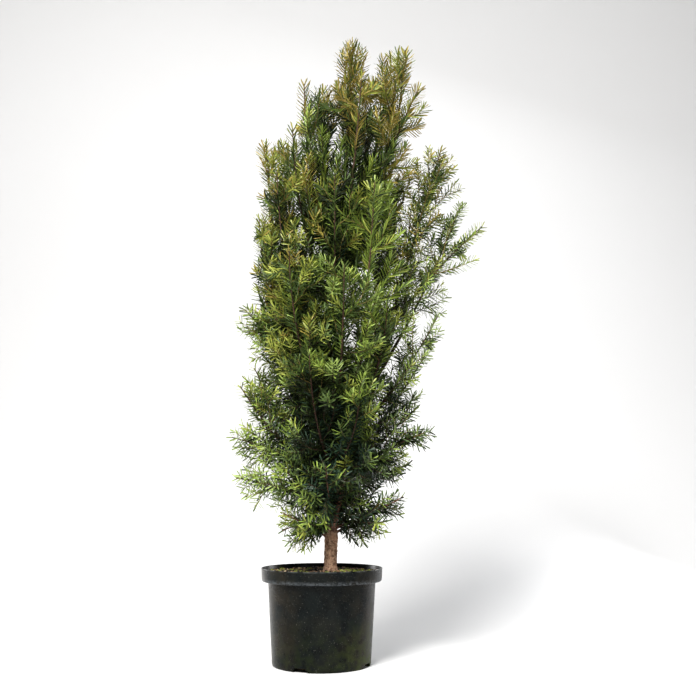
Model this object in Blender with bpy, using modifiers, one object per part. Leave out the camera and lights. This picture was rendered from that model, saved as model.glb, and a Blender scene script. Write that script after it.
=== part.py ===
"""An Irish yew in a round nursery pot: a short trunk that forks low into many erect limbs, each
ending in a plume of needled shoots.

Metres, +Z up. The origin is the centre of the pot's flat underside, and the plant's best side
faces -Y."""

import math

import bmesh
import bpy
import numpy as np
from mathutils import Vector

# The pot, a ten litre container.
POT_HEIGHT = 0.216
RIM_RADIUS = 0.1405
RIM_FOOT_RADIUS = 0.139
RIM_BAND = 0.030
RIM_ROUND = 0.003
BODY_TOP_RADIUS = 0.1245
BODY_FOOT_RADIUS = 0.113
POT_WALL = 0.002
POT_FLOOR = 0.003
POT_STEPS = 32

# The drain slots in the pot's bottom corner.
SLOT_COUNT = 4
SLOT_TURN = math.radians(-23.0)
SLOT_WIDTH = 0.036
SLOT_HEIGHT = 0.009
SLOT_DEPTH = 0.030

# The potting bark that fills the pot.
SOIL_TOP = 0.208
SOIL_CHAMFER = 0.016
SOIL_EDGE = 0.008
SOIL_EDGE_DROP = 0.003
SOIL_SIDE_GAP = 0.001

# Meshes that touch keep this gap, and a limb's foot on the trunk keeps a little more.
GAP = 0.0003
FOOT_GAP = 0.00075

# The trunk: its axis leans a little to the right on its way up.
TRUNK_FOOT_X = 0.020
TRUNK_LEAN = 0.054
TRUNK_LEAN_POWER = 1.4
TRUNK_SWAY = 0.005
TRUNK_SWAY_TURN = 2.2 * math.pi
TREE_TOP = 1.533
TRUNK_TOP = 1.190
FORK_Z = 0.285
FORK_LENGTH = 0.045
FOOT_RADIUS = 0.0150
FORK_RADIUS = 0.0157
ABOVE_FORK_RADIUS = 0.0105
TRUNK_TOP_RADIUS = 0.0034
FLARE = 0.0030
FLARE_HEIGHT = 0.012

# The limbs: a limb's radius where it leaves the trunk grows with its length.
LIMB_LEAST_RADIUS = 0.0020
LIMB_RADIUS_SHARE = 0.0056
LIMB_TIP_RADIUS = 0.0011
LIMB_TAPER_POWER = 0.8
LIMB_POINTS = 25
START_LOW_Z = 0.288
LEAFY_LENGTH = 0.46
LEAFY_SHARE = 0.84
LEAST_BOUGH = 0.12
BOUGH_PIECE = 0.042
TIP_DROP = 0.010

# A habit: where the limb's bend lies on its way out and up, how far it arches over, what share
# of the height to its tip it climbs inside the trunk, and how far its stem ends inside the tip.
FORKING = (0.70, 0.32, 0.0, 0.0, 0.022)
LIFTING = (0.64, 0.66, 0.0, 0.0, 0.022)
CRESTING = (0.92, 0.36, 0.0, 0.55, 0.012)
FLARING = (0.60, 0.70, 0.0, 0.55, 0.012)
UPRIGHT = (0.92, 0.38, 0.0, 0.36, 0.022)
LEANING = (0.50, 0.66, 0.0, 0.36, 0.020)
SPREADING = (0.58, 0.42, 0.004, 0.26, 0.018)
ARCHING = (0.50, 0.72, 0.0, 0.26, 0.018)
DROOPING = (0.50, 0.60, 0.040, 0.0, 0.020)

# How a limb may shift to stay clear of the others: its start up or down, its bend sideways.
LIMB_GAP = 0.0032
NEAR_TRUNK = 0.15
LITTLE_WAY = 0.01
START_SHIFTS = (0.0, 0.012, -0.012, 0.024, -0.024, 0.036, 0.048, 0.060, 0.072)
BEND_SHIFTS = (0.0, 0.02, -0.02, 0.04, -0.04, 0.06, -0.06)

# Each limb's tip, as the crown's outline shows it: how far right, back and up, and its habit.
LIMBS = {
    "front_fresh": (0.135, -0.170, 1.110, FORKING),
    "shoulder_left": (-0.169, 0.030, 1.272, FORKING),
    "arm_high": (0.317, 0.010, 1.250, LIFTING),
    "back_high": (0.060, 0.185, 1.190, FORKING),
    "crest_right": (0.216, 0.010, 1.512, CRESTING),
    "crest_back": (0.130, 0.100, 1.460, CRESTING),
    "crest_middle": (0.162, 0.045, 1.484, CRESTING),
    "crest_lean": (0.247, -0.055, 1.383, FLARING),
    "crest_left": (-0.060, -0.040, 1.406, CRESTING),
    "crest_inner": (0.002, 0.092, 1.440, CRESTING),
    "crest_front": (0.100, -0.100, 1.400, CRESTING),
    "shoulder_front": (-0.080, -0.120, 1.256, CRESTING),
    "shoulder_right": (0.209, 0.110, 1.198, UPRIGHT),
    "arm_far": (0.409, -0.025, 1.040, LEANING),
    "arm_back": (0.370, 0.085, 1.130, SPREADING),
    "arm_low": (0.292, -0.060, 0.812, SPREADING),
    "arm_lower": (0.283, 0.050, 0.758, SPREADING),
    "left_shoulder": (-0.125, -0.120, 1.150, UPRIGHT),
    "left_high": (-0.175, -0.060, 1.052, UPRIGHT),
    "left_back": (-0.172, 0.105, 0.983, UPRIGHT),
    "left_bay": (-0.212, 0.010, 0.840, LEANING),
    "left_low": (-0.190, 0.090, 0.705, SPREADING),
    "left_flare": (-0.205, -0.090, 0.640, SPREADING),
    "left_reach": (-0.235, 0.010, 0.528, ARCHING),
    "left_hook": (-0.214, -0.060, 0.430, ARCHING),
    "left_foot": (-0.110, -0.030, 0.310, DROOPING),
    "left_skirt": (-0.102, -0.085, 0.352, SPREADING),
    "right_bay": (0.236, -0.020, 0.628, UPRIGHT),
    "right_reach": (0.272, -0.050, 0.540, ARCHING),
    "right_low": (0.226, 0.070, 0.466, SPREADING),
    "right_hook": (0.204, -0.060, 0.388, SPREADING),
    "right_foot": (0.154, 0.020, 0.300, DROOPING),
    "front_crown": (0.030, -0.175, 1.130, UPRIGHT),
    "front_left": (-0.085, -0.180, 0.940, UPRIGHT),
    "front_gold": (0.055, -0.215, 0.900, UPRIGHT),
    "front_right": (0.166, -0.150, 0.830, UPRIGHT),
    "front_middle": (-0.030, -0.205, 0.700, UPRIGHT),
    "front_low": (0.095, -0.185, 0.620, UPRIGHT),
    "front_foot": (0.010, -0.160, 0.455, SPREADING),
    "left_inner": (-0.100, -0.070, 0.450, SPREADING),
    "right_inner": (0.130, 0.000, 0.440, SPREADING),
    "inner_left": (-0.080, -0.060, 0.600, UPRIGHT),
    "inner_right": (0.115, -0.060, 0.600, UPRIGHT),
    "back_left": (-0.070, 0.190, 0.930, UPRIGHT),
    "back_right": (0.175, 0.190, 0.880, UPRIGHT),
    "back_middle": (0.050, 0.210, 0.720, UPRIGHT),
    "back_low": (-0.060, 0.170, 0.560, SPREADING),
    "back_foot": (0.080, 0.160, 0.440, SPREADING),
}

# A plume's side shoots: they leave its stem by the golden angle and rise beside it.
GOLDEN_ANGLE = math.radians(137.508)
OTHER_TURNS = (0.0, 0.7, -0.7, 1.4, -1.4, 2.1, -2.1, math.pi)
SHOOT_STEP = 0.070
SHOOT_LENGTH = 0.185
SHORTER = (1.0, 0.78, 0.6)
BESIDE = (0.058, 0.046, 0.036)
SIDE_SKEW = 0.13
SHOOT_BEND = 0.38
SHOOT_BEND_OUT = 0.95
TURN_SPREAD = 0.25
FIRST_SHOOT = 0.008
LAST_SHOOT = 0.085
OVER_TIP = -0.012
OUTSIDE_TIP = 0.010
HANG = 0.030
SHOOT_SPACING = (0.028, 0.020)
SHOOT_TO_LIMB = 0.009
NEAR_ROOT = 0.1
NEAR_STEM = 0.4

# Every shoot, a plume's stem too, is a slim core drawn out into rows of needles.
CORE_RADIUS = 0.0019
CORE_TIP_RADIUS = 0.0012
ROW = 0.047
LEAST_ROWS = 2
BARE = 0.012
BARE_AT_TRUNK = 0.040
BARE_PIECE = 0.030
NEEDLE = 0.023
LAST_NEEDLE = 0.014
NEEDLE_TAPER = 0.060
NEEDLE_LEAN = 0.011
TIP_NEEDLE = 0.014

# A needle keeps this far from limbs, and from the middle of the way to any other shoot.
LIMB_CLEARANCE = 0.0035
SHOOT_CLEARANCE = 0.0015
NEARBY = 0.16

# Spots on a needle's face, as shares of its tip and of the two corners of its root.
NEEDLE_SPOTS = (
    (1, 0, 0),
    (0.7, 0.3, 0),
    (0.7, 0, 0.3),
    (0.4, 0.6, 0),
    (0.4, 0.3, 0.3),
    (0.4, 0, 0.6),
)

# Two points this close are one point: in a finished mesh, in a curve's caps, at a line's end.
SAME_VERTEX = 2e-7
CAP_WELD = 1e-6
AT_END = 1e-4

SEED = 12

# Each material's plain colour and roughness.
POT_PLASTIC = ((0.018, 0.020, 0.020), 0.45)
POTTING_BARK = ((0.07, 0.045, 0.025), 0.9)
BARK = ((0.16, 0.10, 0.06), 0.85)
NEEDLES = ((0.09, 0.14, 0.035), 0.6)


def axis_point(z):
    """The trunk's axis at a height."""
    share = max(0.0, (z - SOIL_TOP) / (TREE_TOP - SOIL_TOP))
    x = TRUNK_FOOT_X + TRUNK_LEAN * share**TRUNK_LEAN_POWER
    y = TRUNK_SWAY * math.sin(TRUNK_SWAY_TURN * share)
    return np.array([x, y, z])


def trunk_radius(z):
    """The trunk's radius at a height, thicker under the fork and flared at the foot."""
    flare = FLARE * max(0.0, 1 - (z - SOIL_TOP) / FLARE_HEIGHT)
    if z <= FORK_Z:
        share = (z - SOIL_TOP) / (FORK_Z - SOIL_TOP)
        return FOOT_RADIUS + (FORK_RADIUS - FOOT_RADIUS) * share + flare
    if z <= FORK_Z + FORK_LENGTH:
        share = (z - FORK_Z) / FORK_LENGTH
        return FORK_RADIUS + (ABOVE_FORK_RADIUS - FORK_RADIUS) * share
    share = min(1.0, (z - FORK_Z - FORK_LENGTH) / (TRUNK_TOP - FORK_Z - FORK_LENGTH))
    return ABOVE_FORK_RADIUS + (TRUNK_TOP_RADIUS - ABOVE_FORK_RADIUS) * share


def arc_lengths(path):
    """The distance along a path at each of its points."""
    return np.concatenate([[0.0], np.cumsum(np.linalg.norm(np.diff(path, axis=0), axis=1))])


def point_at(path, distance):
    """The point at a distance along a path."""
    along = arc_lengths(path)
    return np.array([np.interp(distance, along, path[:, i]) for i in range(3)])


def direction_at(path, distance):
    """The unit direction of a path at a distance along it."""
    way = point_at(path, distance + LITTLE_WAY) - point_at(path, distance - LITTLE_WAY)
    return way / np.linalg.norm(way)


def stretch(path, first, last, count):
    """Evenly spaced points between two distances along a path."""
    return np.array([point_at(path, d) for d in np.linspace(first, last, count)])


def limb_path(name, start_shift, bend_shift):
    """A limb's line from the trunk's axis to its tip, with one bend."""
    x, y, z, (out, up, arch, climb, inset) = LIMBS[name]
    start = axis_point(START_LOW_Z + climb * max(0.0, z - START_LOW_Z) + start_shift)
    tip = np.array([x, y, z])
    inward = (start - tip) * [1, 1, 0]
    tip += inward / np.linalg.norm(inward) * inset + [0, 0, -TIP_DROP]
    way = tip - start
    aside = np.array([-way[1], way[0], 0.0]) / np.hypot(way[0], way[1])
    bend = start + way * [out, out, up] + [0, 0, arch] + aside * bend_shift
    t = np.linspace(0, 1, LIMB_POINTS)[:, None]
    return (1 - t) ** 2 * start + 2 * t * (1 - t) * bend + t**2 * tip


def new_limb(name, path, root):
    """A limb's line, its radius at the root, and where its leafy stem begins."""
    length = arc_lengths(path)[-1]
    leafy_from = length - min(LEAFY_LENGTH, LEAFY_SHARE * length)
    bough = leafy_from > LEAST_BOUGH
    limb = {"name": name, "path": path, "length": length, "root": root, "bough": bough}
    limb.update(leafy_from=leafy_from, on_trunk=not bough)
    return limb


def skin_outside_trunk(limb):
    """Points on the limb's skin, wherever it stands outside the trunk."""
    near = min(NEAR_TRUNK, limb["length"] / 2)
    steps = [np.linspace(0, near, 16), np.linspace(near, limb["length"], 25)[1:]]
    found = []
    for distance in np.concatenate(steps):
        middle = point_at(limb["path"], distance)
        along = direction_at(limb["path"], distance)
        across = np.array(Vector(along).orthogonal().normalized())
        other = np.cross(along, across)
        for turn in np.linspace(0, 2 * math.pi, 8, endpoint=False):
            way = math.cos(turn) * across + math.sin(turn) * other
            found.append(middle + way * limb_radius(limb, distance))
    return np.array([p for p in found if is_outside_trunk(p)])


def is_outside_trunk(point):
    """Whether a point is outside the trunk or above it."""
    off = np.hypot(*(point - axis_point(point[2]))[:2])
    return off > trunk_radius(point[2]) or point[2] > TRUNK_TOP


def is_clear(limb, placed):
    """Whether a limb passes all the limbs already placed."""
    skin = skin_outside_trunk(limb)
    for other in placed:
        line = other["path"]
        thick = np.array([limb_radius(other, d) for d in arc_lengths(line)[:-1]])
        if (distances(skin, line[:-1], line[1:]) - thick).min() < LIMB_GAP:
            return False
    return True


def plan_limbs():
    """Every limb, each shifted a little where it would touch one already placed."""
    heights = np.linspace(TRUNK_TOP, TREE_TOP - TIP_DROP, LIMB_POINTS)
    top = np.array([axis_point(z) for z in heights])
    crest = new_limb("crest", top, TRUNK_TOP_RADIUS)
    crest.update(leafy_from=GAP, bough=False, on_trunk=False)
    placed = [crest]
    for name in LIMBS:
        shifts = [(s, b) for b in BEND_SHIFTS for s in START_SHIFTS]
        tries = (limb_path(name, *shift) for shift in shifts)
        limbs = (new_limb(name, path, root_radius(path)) for path in tries)
        placed.append(next(limb for limb in limbs if is_clear(limb, placed)))
    return placed


def root_radius(path):
    """A limb's radius where it leaves the trunk."""
    return LIMB_LEAST_RADIUS + LIMB_RADIUS_SHARE * arc_lengths(path)[-1]


def limb_radius(limb, distance):
    """A limb's radius at a distance along it."""
    share = (distance / limb["length"]) ** LIMB_TAPER_POWER
    return limb["root"] + (LIMB_TIP_RADIUS - limb["root"]) * share


def distances(points, starts, ends):
    """The distance from each point to each straight piece, as a table."""
    way = ends - starts
    share = np.einsum("pik,ik->pi", points[:, None] - starts, way) / (way**2).sum(1)
    nearest = starts + np.clip(share, 0, 1)[..., None] * way
    return np.linalg.norm(points[:, None] - nearest, axis=2)


def leafy_line(limb):
    """The needled part of a limb's line, in rows."""
    bare = BARE_AT_TRUNK if limb["on_trunk"] else BARE
    first = limb["leafy_from"] + bare if limb["bough"] else max(limb["leafy_from"], bare)
    last = limb["length"] - TIP_NEEDLE
    rows = max(LEAST_ROWS, round((last - first) / ROW))
    return stretch(limb["path"], first, last, rows + 1)


def rods_of(limbs):
    """The trunk and every bough as straight rods: starts, ends and radii."""
    heights = np.linspace(SOIL_TOP, TRUNK_TOP, 50)
    lines = [np.array([axis_point(z) for z in heights])]
    radii = [np.array([trunk_radius(z) for z in heights])]
    for limb in limbs:
        if limb["bough"]:
            lines.append(stretch(limb["path"], 0, limb["leafy_from"], 20))
            steps = np.linspace(0, limb["leafy_from"], 20)
            radii.append(np.array([limb_radius(limb, d) for d in steps]))
    starts = np.concatenate([line[:-1] for line in lines])
    ends = np.concatenate([line[1:] for line in lines])
    return starts, ends, np.concatenate([thick[:-1] for thick in radii])


def side_line(limb, at, turn, beside, length):
    """The line of a side shoot: out from the stem and up beside it."""
    root = point_at(limb["path"], at)
    along = direction_at(limb["path"], at)
    side = np.cross(along, [math.cos(turn), math.sin(turn), SIDE_SKEW])
    side /= np.linalg.norm(side)
    bend = root + side * beside * SHOOT_BEND_OUT + along * length * SHOOT_BEND
    end = root + side * beside + along * length
    t = np.linspace(0, 1, max(3, round(length / ROW) + 1))[:, None]
    return (1 - t) ** 2 * root + 2 * t * (1 - t) * bend + t**2 * end


def has_room(line, limb, at, own, others, rods, spacing):
    """Whether a side shoot keeps inside the crown, off limbs and shoots, and doesn't hang."""
    middle = axis_point(line[-1][2])[:2]
    crown = np.linalg.norm(limb["path"][-1][:2] - middle) + OUTSIDE_TIP
    if np.linalg.norm(line[-1][:2] - middle) > crown:
        return False
    length = arc_lengths(line)[-1]
    if line[-1][2] < point_at(limb["path"], at + length)[2] - HANG:
        return False
    starts, ends, radii = rods
    whole = stretch(line, NEAR_ROOT * length, length, 12)
    if (distances(whole, starts, ends) - radii).min() < SHOOT_TO_LIMB:
        return False
    if any(distances(whole, other[:-1], other[1:]).min() < SHOOT_TO_LIMB for other in others):
        return False
    outer = stretch(line, NEAR_STEM * length, length, 8)
    return all(distances(outer, o[:-1], o[1:]).min() > spacing for o in own + others)


def find_side_shoot(limb, at, turn, own, others, rods):
    """The longest and widest side shoot with room at this place on the stem, or none."""
    reach = min(SHOOT_LENGTH, limb["length"] - at + OVER_TIP)
    for spacing in SHOOT_SPACING:
        for shorter in SHORTER:
            for beside in BESIDE:
                for other_turn in OTHER_TURNS:
                    line = side_line(limb, at, turn + other_turn, beside, reach * shorter)
                    if has_room(line, limb, at, own, others, rods, spacing):
                        return line
    return None


def stem_line(limb):
    """A plume's whole stem, bare part and all."""
    return stretch(limb["path"], limb["leafy_from"] if limb["bough"] else 0, limb["length"], 14)


def plan_shoots(limbs, rods):
    """The needled lines of each plume: its own stem first, then its side shoots."""
    plumes = {limb["name"]: [leafy_line(limb)] for limb in limbs}
    for number, limb in enumerate(limbs):
        rng = np.random.default_rng([SEED, number])
        turn = rng.uniform(0, 2 * math.pi)
        own = plumes[limb["name"]]
        first = limb["length"] - TIP_NEEDLE - arc_lengths(own[0])[-1] + FIRST_SHOOT
        others = [stem_line(other) for other in limbs if other is not limb]
        for name, lines in plumes.items():
            others += lines[1:] if name != limb["name"] else []
        for at in np.arange(first, limb["length"] - LAST_SHOOT, SHOOT_STEP):
            turn += GOLDEN_ANGLE + rng.uniform(-TURN_SPREAD, TURN_SPREAD)
            line = find_side_shoot(limb, at, turn, own, others, rods)
            if line is not None:
                own.append(line)
    return plumes


def new_collection(name):
    """A new collection in the scene."""
    collection = bpy.data.collections.new(name)
    bpy.context.scene.collection.children.link(collection)
    return collection


def new_material(name, color, roughness):
    """A plain material: its colour, its roughness and no metal."""
    material = bpy.data.materials.new(name)
    material.use_nodes = True
    shader = material.node_tree.nodes["Principled BSDF"]
    shader.inputs["Base Color"].default_value = (*color, 1.0)
    shader.inputs["Roughness"].default_value = roughness
    shader.inputs["Metallic"].default_value = 0.0
    return material


def mesh_object(name, mesh, collection, material=None):
    """A new object with a mesh, in a collection."""
    obj = bpy.data.objects.new(name, mesh)
    collection.objects.link(obj)
    if material:
        mesh.materials.clear()
        mesh.materials.append(material)
    return obj


def tube(name, points, radii, resolution, collection, material=None, outline=None):
    """A tapering tube along a line, round or with an outline's shape, its end caps welded on."""
    curve = bpy.data.curves.new(name, "CURVE")
    curve.dimensions = "3D"
    if outline:
        curve.bevel_mode = "OBJECT"
        curve.bevel_object = outline
    else:
        curve.bevel_depth = 1.0
        curve.bevel_resolution = resolution
    curve.use_fill_caps = True
    spline = curve.splines.new("POLY")
    spline.points.add(len(points) - 1)
    for point, place, radius in zip(spline.points, points, radii):
        point.co = (*place, 1.0)
        point.radius = radius
    holder = bpy.data.objects.new(name, curve)
    collection.objects.link(holder)
    graph = bpy.context.evaluated_depsgraph_get()
    mesh = bpy.data.meshes.new_from_object(holder.evaluated_get(graph))
    bpy.data.objects.remove(holder)
    bpy.data.curves.remove(curve)
    bm = bmesh.new()
    bm.from_mesh(mesh)
    bmesh.ops.remove_doubles(bm, verts=bm.verts, dist=CAP_WELD)
    bmesh.ops.recalc_face_normals(bm, faces=bm.faces)
    bm.to_mesh(mesh)
    bm.free()
    mesh.name = name
    return mesh_object(name, mesh, collection, material)


def turned(name, profile, collection, material):
    """A solid of revolution: the profile runs from the axis to the axis, down the outer side."""
    mesh = bpy.data.meshes.new(name)
    points = [(radius, 0.0, z) for radius, z in profile]
    mesh.from_pydata(points, [(i, i + 1) for i in range(len(points) - 1)], [])
    obj = mesh_object(name, mesh, collection, material)
    screw = obj.modifiers.new("turn", "SCREW")
    screw.steps = screw.render_steps = POT_STEPS
    screw.use_merge_vertices = True
    screw.merge_threshold = 0.0001
    return obj


def body_radius(z):
    """The pot wall's outer radius below the rim band."""
    share = z / (POT_HEIGHT - RIM_BAND)
    return BODY_FOOT_RADIUS + (BODY_TOP_RADIUS - BODY_FOOT_RADIUS) * share


def build_pot(parts, cutters):
    """A thin round pot with a turned-out rim band and drain slots in its bottom corner."""
    ledge = POT_HEIGHT - RIM_BAND
    lip = RIM_RADIUS - POT_WALL
    profile = [
        (0.0, POT_FLOOR),
        (body_radius(POT_FLOOR) - POT_WALL, POT_FLOOR),
        (body_radius(ledge) - POT_WALL, ledge + POT_WALL),
        (RIM_FOOT_RADIUS - POT_WALL, ledge + RIM_ROUND + POT_WALL),
        (lip, POT_HEIGHT),
        (RIM_RADIUS - POT_WALL / 4, POT_HEIGHT),
        (RIM_RADIUS, POT_HEIGHT - POT_WALL / 2),
        (RIM_FOOT_RADIUS, ledge + RIM_ROUND),
        (RIM_FOOT_RADIUS - RIM_ROUND, ledge),
        (BODY_TOP_RADIUS, ledge),
        (body_radius(RIM_ROUND), RIM_ROUND),
        (BODY_FOOT_RADIUS - RIM_ROUND / 2, 0.0),
        (0.0, 0.0),
    ]
    pot = turned("pot", profile, parts, new_material("pot plastic", *POT_PLASTIC))
    for k in range(SLOT_COUNT):
        turn = SLOT_TURN + k * 2 * math.pi / SLOT_COUNT
        bpy.ops.mesh.primitive_cube_add(size=1)
        cutter = bpy.context.object
        cutter.name = f"slot_cutter_{k}"
        cutter.scale = (SLOT_WIDTH, SLOT_DEPTH, 2 * SLOT_HEIGHT)
        cutter.rotation_euler = (0, 0, turn)
        cutter.location = (
            BODY_FOOT_RADIUS * math.sin(turn),
            -BODY_FOOT_RADIUS * math.cos(turn),
            0.0,
        )
        for collection in list(cutter.users_collection):
            collection.objects.unlink(cutter)
        cutters.objects.link(cutter)
        cutter.hide_render = True
        cutter.display_type = "WIRE"
        cut = pot.modifiers.new(f"slot {k}", "BOOLEAN")
        cut.operation = "DIFFERENCE"
        cut.object = cutter
    return pot


def build_soil(parts):
    """Potting bark up to just under the rim, with its bottom corner worn back at the slots."""
    ledge = POT_HEIGHT - RIM_BAND
    rim = RIM_FOOT_RADIUS - POT_WALL - GAP
    profile = [
        (0.0, SOIL_TOP),
        (rim - SOIL_EDGE, SOIL_TOP),
        (rim - SOIL_SIDE_GAP, SOIL_TOP - SOIL_EDGE_DROP),
        (rim - SOIL_SIDE_GAP, ledge + RIM_ROUND + POT_WALL),
        (body_radius(ledge) - POT_WALL - SOIL_SIDE_GAP, ledge + POT_WALL + SOIL_SIDE_GAP),
        (body_radius(SOIL_CHAMFER) - POT_WALL - SOIL_SIDE_GAP, SOIL_CHAMFER),
        (body_radius(0.0) - POT_WALL - SLOT_DEPTH / 2, POT_FLOOR + GAP),
        (0.0, POT_FLOOR + GAP),
    ]
    return turned("soil", profile, parts, new_material("potting bark", *POTTING_BARK))


def build_trunk(parts, material):
    """The trunk, from its flat cut on the soil to where the crest begins."""
    heights = [SOIL_TOP + GAP, SOIL_TOP + FLARE_HEIGHT / 2, SOIL_TOP + FLARE_HEIGHT]
    heights += list(np.linspace(SOIL_TOP + 0.03, FORK_Z, 3))
    heights += [FORK_Z + FORK_LENGTH]
    heights += list(np.linspace(FORK_Z + FORK_LENGTH, TRUNK_TOP, 9)[1:])
    points = [axis_point(z) for z in heights]
    radii = [trunk_radius(z) for z in heights]
    trunk = tube("trunk", points, radii, 2, parts, material)
    flatten_end(trunk, SOIL_TOP + GAP)
    return trunk


def flatten_end(obj, z):
    """Brings the vertices of the tube's lowest ring to one height."""
    low = min(v.co.z for v in obj.data.vertices)
    for v in obj.data.vertices:
        if v.co.z < low + 0.001:
            v.co.z = z


def trunk_cutter(cutters):
    """The trunk grown by the gap, which shapes the foot of each limb."""
    heights = np.linspace(SOIL_TOP - 0.01, TRUNK_TOP + GAP, 60)
    points = [axis_point(z) for z in heights]
    radii = [trunk_radius(max(z, SOIL_TOP)) + FOOT_GAP for z in heights]
    cutter = tube("trunk_cutter", points, radii, 2, cutters)
    cutter.hide_render = True
    cutter.display_type = "WIRE"
    return cutter


def apply_boolean(obj, operation, solver="EXACT", other=None, collection=None):
    """Runs one Boolean and keeps its result as the object's mesh."""
    boolean = obj.modifiers.new("join", "BOOLEAN")
    boolean.operation = operation
    boolean.solver = solver
    if collection:
        boolean.operand_type = "COLLECTION"
        boolean.collection = collection
    else:
        boolean.object = other
    graph = bpy.context.evaluated_depsgraph_get()
    result = bpy.data.meshes.new_from_object(obj.evaluated_get(graph))
    obj.modifiers.clear()
    old = obj.data
    obj.data = result
    bpy.data.meshes.remove(old)
    result.name = obj.name


def pieces_of(bm):
    """The mesh's vertices, grouped into connected pieces."""
    left, groups = set(bm.verts), []
    while left:
        group, front = set(), [left.pop()]
        while front:
            vert = front.pop()
            group.add(vert)
            for edge in vert.link_edges:
                other = edge.other_vert(vert)
                if other in left:
                    left.discard(other)
                    front.append(other)
        groups.append(group)
    return groups


def keep_largest(obj):
    """Drops any loose scrap that a cut leaves."""
    bm = bmesh.new()
    bm.from_mesh(obj.data)
    largest = max(pieces_of(bm), key=len)
    bmesh.ops.delete(bm, geom=[v for v in bm.verts if v not in largest], context="VERTS")
    bm.to_mesh(obj.data)
    bm.free()


def is_whole(mesh):
    """Whether a mesh is one closed piece."""
    bm = bmesh.new()
    bm.from_mesh(mesh)
    bmesh.ops.remove_doubles(bm, verts=bm.verts, dist=SAME_VERTEX)
    whole = all(edge.is_manifold for edge in bm.edges) and len(pieces_of(bm)) == 1
    bm.free()
    return whole


def three_sided(name, line, radii, collection, material=None):
    """A tapering three-sided tube along a line."""
    outline = bpy.data.curves.new("outline", "CURVE")
    corners = outline.splines.new("POLY")
    corners.points.add(2)
    corners.use_cyclic_u = True
    for corner, turn in zip(corners.points, (0, 1, 2)):
        angle = turn * 2 * math.pi / 3
        corner.co = (math.cos(angle), math.sin(angle), 0, 1)
    pattern = bpy.data.objects.new("outline", outline)
    obj = tube(name, line, radii, 0, collection, material, pattern)
    bpy.data.objects.remove(pattern)
    bpy.data.curves.remove(outline)
    return obj


def nearest_on(line, point):
    """The nearest point on a line, the line's direction there, and how far it is to the end."""
    starts, ends = line[:-1], line[1:]
    piece = int(distances(point[None], starts, ends)[0].argmin())
    way = ends[piece] - starts[piece]
    share = np.clip(np.dot(point - starts[piece], way) / np.dot(way, way), 0, 1)
    on_line = starts[piece] + share * way
    left = np.linalg.norm(line[-1] - on_line)
    return on_line, way / np.linalg.norm(way), left


def needle_tip(center, line):
    """Where the needle drawn from a face ends: outwards and forwards, shorter near the tip."""
    on_line, along, left = nearest_on(line, center)
    out = center - on_line
    out -= np.dot(out, along) * along
    share = min(1.0, left / NEEDLE_TAPER)
    reach = LAST_NEEDLE + (NEEDLE - LAST_NEEDLE) * share
    return center + out / np.linalg.norm(out) * reach + along * NEEDLE_LEAN


def needle_samples(tip, corners):
    """Points all over a needle's faces, but for those near its root."""
    found = []
    for k in range(3):
        a, b = corners[k], corners[(k + 1) % 3]
        found += [tip * u + a * v + b * w for u, v, w in NEEDLE_SPOTS]
    return np.array(found)


class Space:
    """What a plume's needles keep clear of, near one of its shoots."""

    def __init__(self, line, plumes, rods):
        starts, ends, radii = rods
        middle = line.mean(0)
        reach = NEARBY + np.linalg.norm(line - middle, axis=1).max()
        near = np.linalg.norm(starts - middle, axis=1) < reach
        self.rods = (starts[near], ends[near], radii[near])
        self.line = line
        others = [other for lines in plumes.values() for other in lines if other is not line]
        starts = np.concatenate([other[:-1] for other in others])
        ends = np.concatenate([other[1:] for other in others])
        near = np.linalg.norm(starts - middle, axis=1) < reach
        self.others = (starts[near], ends[near])

    def keeps(self, points):
        """Whether all the points are clear of limbs and nearest to this shoot."""
        starts, ends, radii = self.rods
        if len(radii) and (distances(points, starts, ends) - radii).min() < LIMB_CLEARANCE:
            return False
        if not len(self.others[0]):
            return True
        own = distances(points, self.line[:-1], self.line[1:]).min(1)
        return bool((distances(points, *self.others).min(1) - own > 2 * SHOOT_CLEARANCE).all())


def grow_needles(obj, line, space):
    """Draws needles out of a shoot's side faces, wherever there is room for one."""
    bm = bmesh.new()
    bm.from_mesh(obj.data)
    length = arc_lengths(line)[-1]
    sides = []
    for face in bm.faces:
        center = np.array(face.calc_center_median())
        on_line, _, left = nearest_on(line, center)
        if len(face.verts) == 4 and AT_END < left < length - AT_END:
            sides.append(face)
    for face in bmesh.ops.triangulate(bm, faces=sides)["faces"]:
        tip = needle_tip(np.array(face.calc_center_median()), line)
        if space.keeps(needle_samples(tip, [np.array(v.co) for v in face.verts])):
            bmesh.ops.poke(bm, faces=[face])["verts"][0].co = tip
    last = Vector(line[-1])
    ends = [f for f in bm.faces if (last - f.calc_center_median()).length < AT_END]
    way = Vector(line[-1] - line[-2]).normalized()
    bmesh.ops.poke(bm, faces=ends)["verts"][0].co = last + way * TIP_NEEDLE
    bm.to_mesh(obj.data)
    bm.free()


def build_stem(limb, line, parts, material):
    """A plume's stem: the bare part from the trunk or the bough, then the needled line."""
    first = 0.0 if limb["on_trunk"] else limb["leafy_from"] + GAP
    bare = limb["length"] - TIP_NEEDLE - arc_lengths(line)[-1] - first
    pieces = max(1, round(bare / BARE_PIECE))
    start = stretch(limb["path"], first, first + bare, pieces + 1)[:-1]
    points = np.concatenate([start, line])
    steps = first + np.concatenate([[0], np.cumsum(np.linalg.norm(np.diff(points, axis=0), axis=1))])
    radii = [max(limb_radius(limb, min(d, limb["length"])), CORE_TIP_RADIUS) for d in steps]
    return three_sided(f"foliage_{limb['name']}", points, radii, parts, material)


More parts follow.
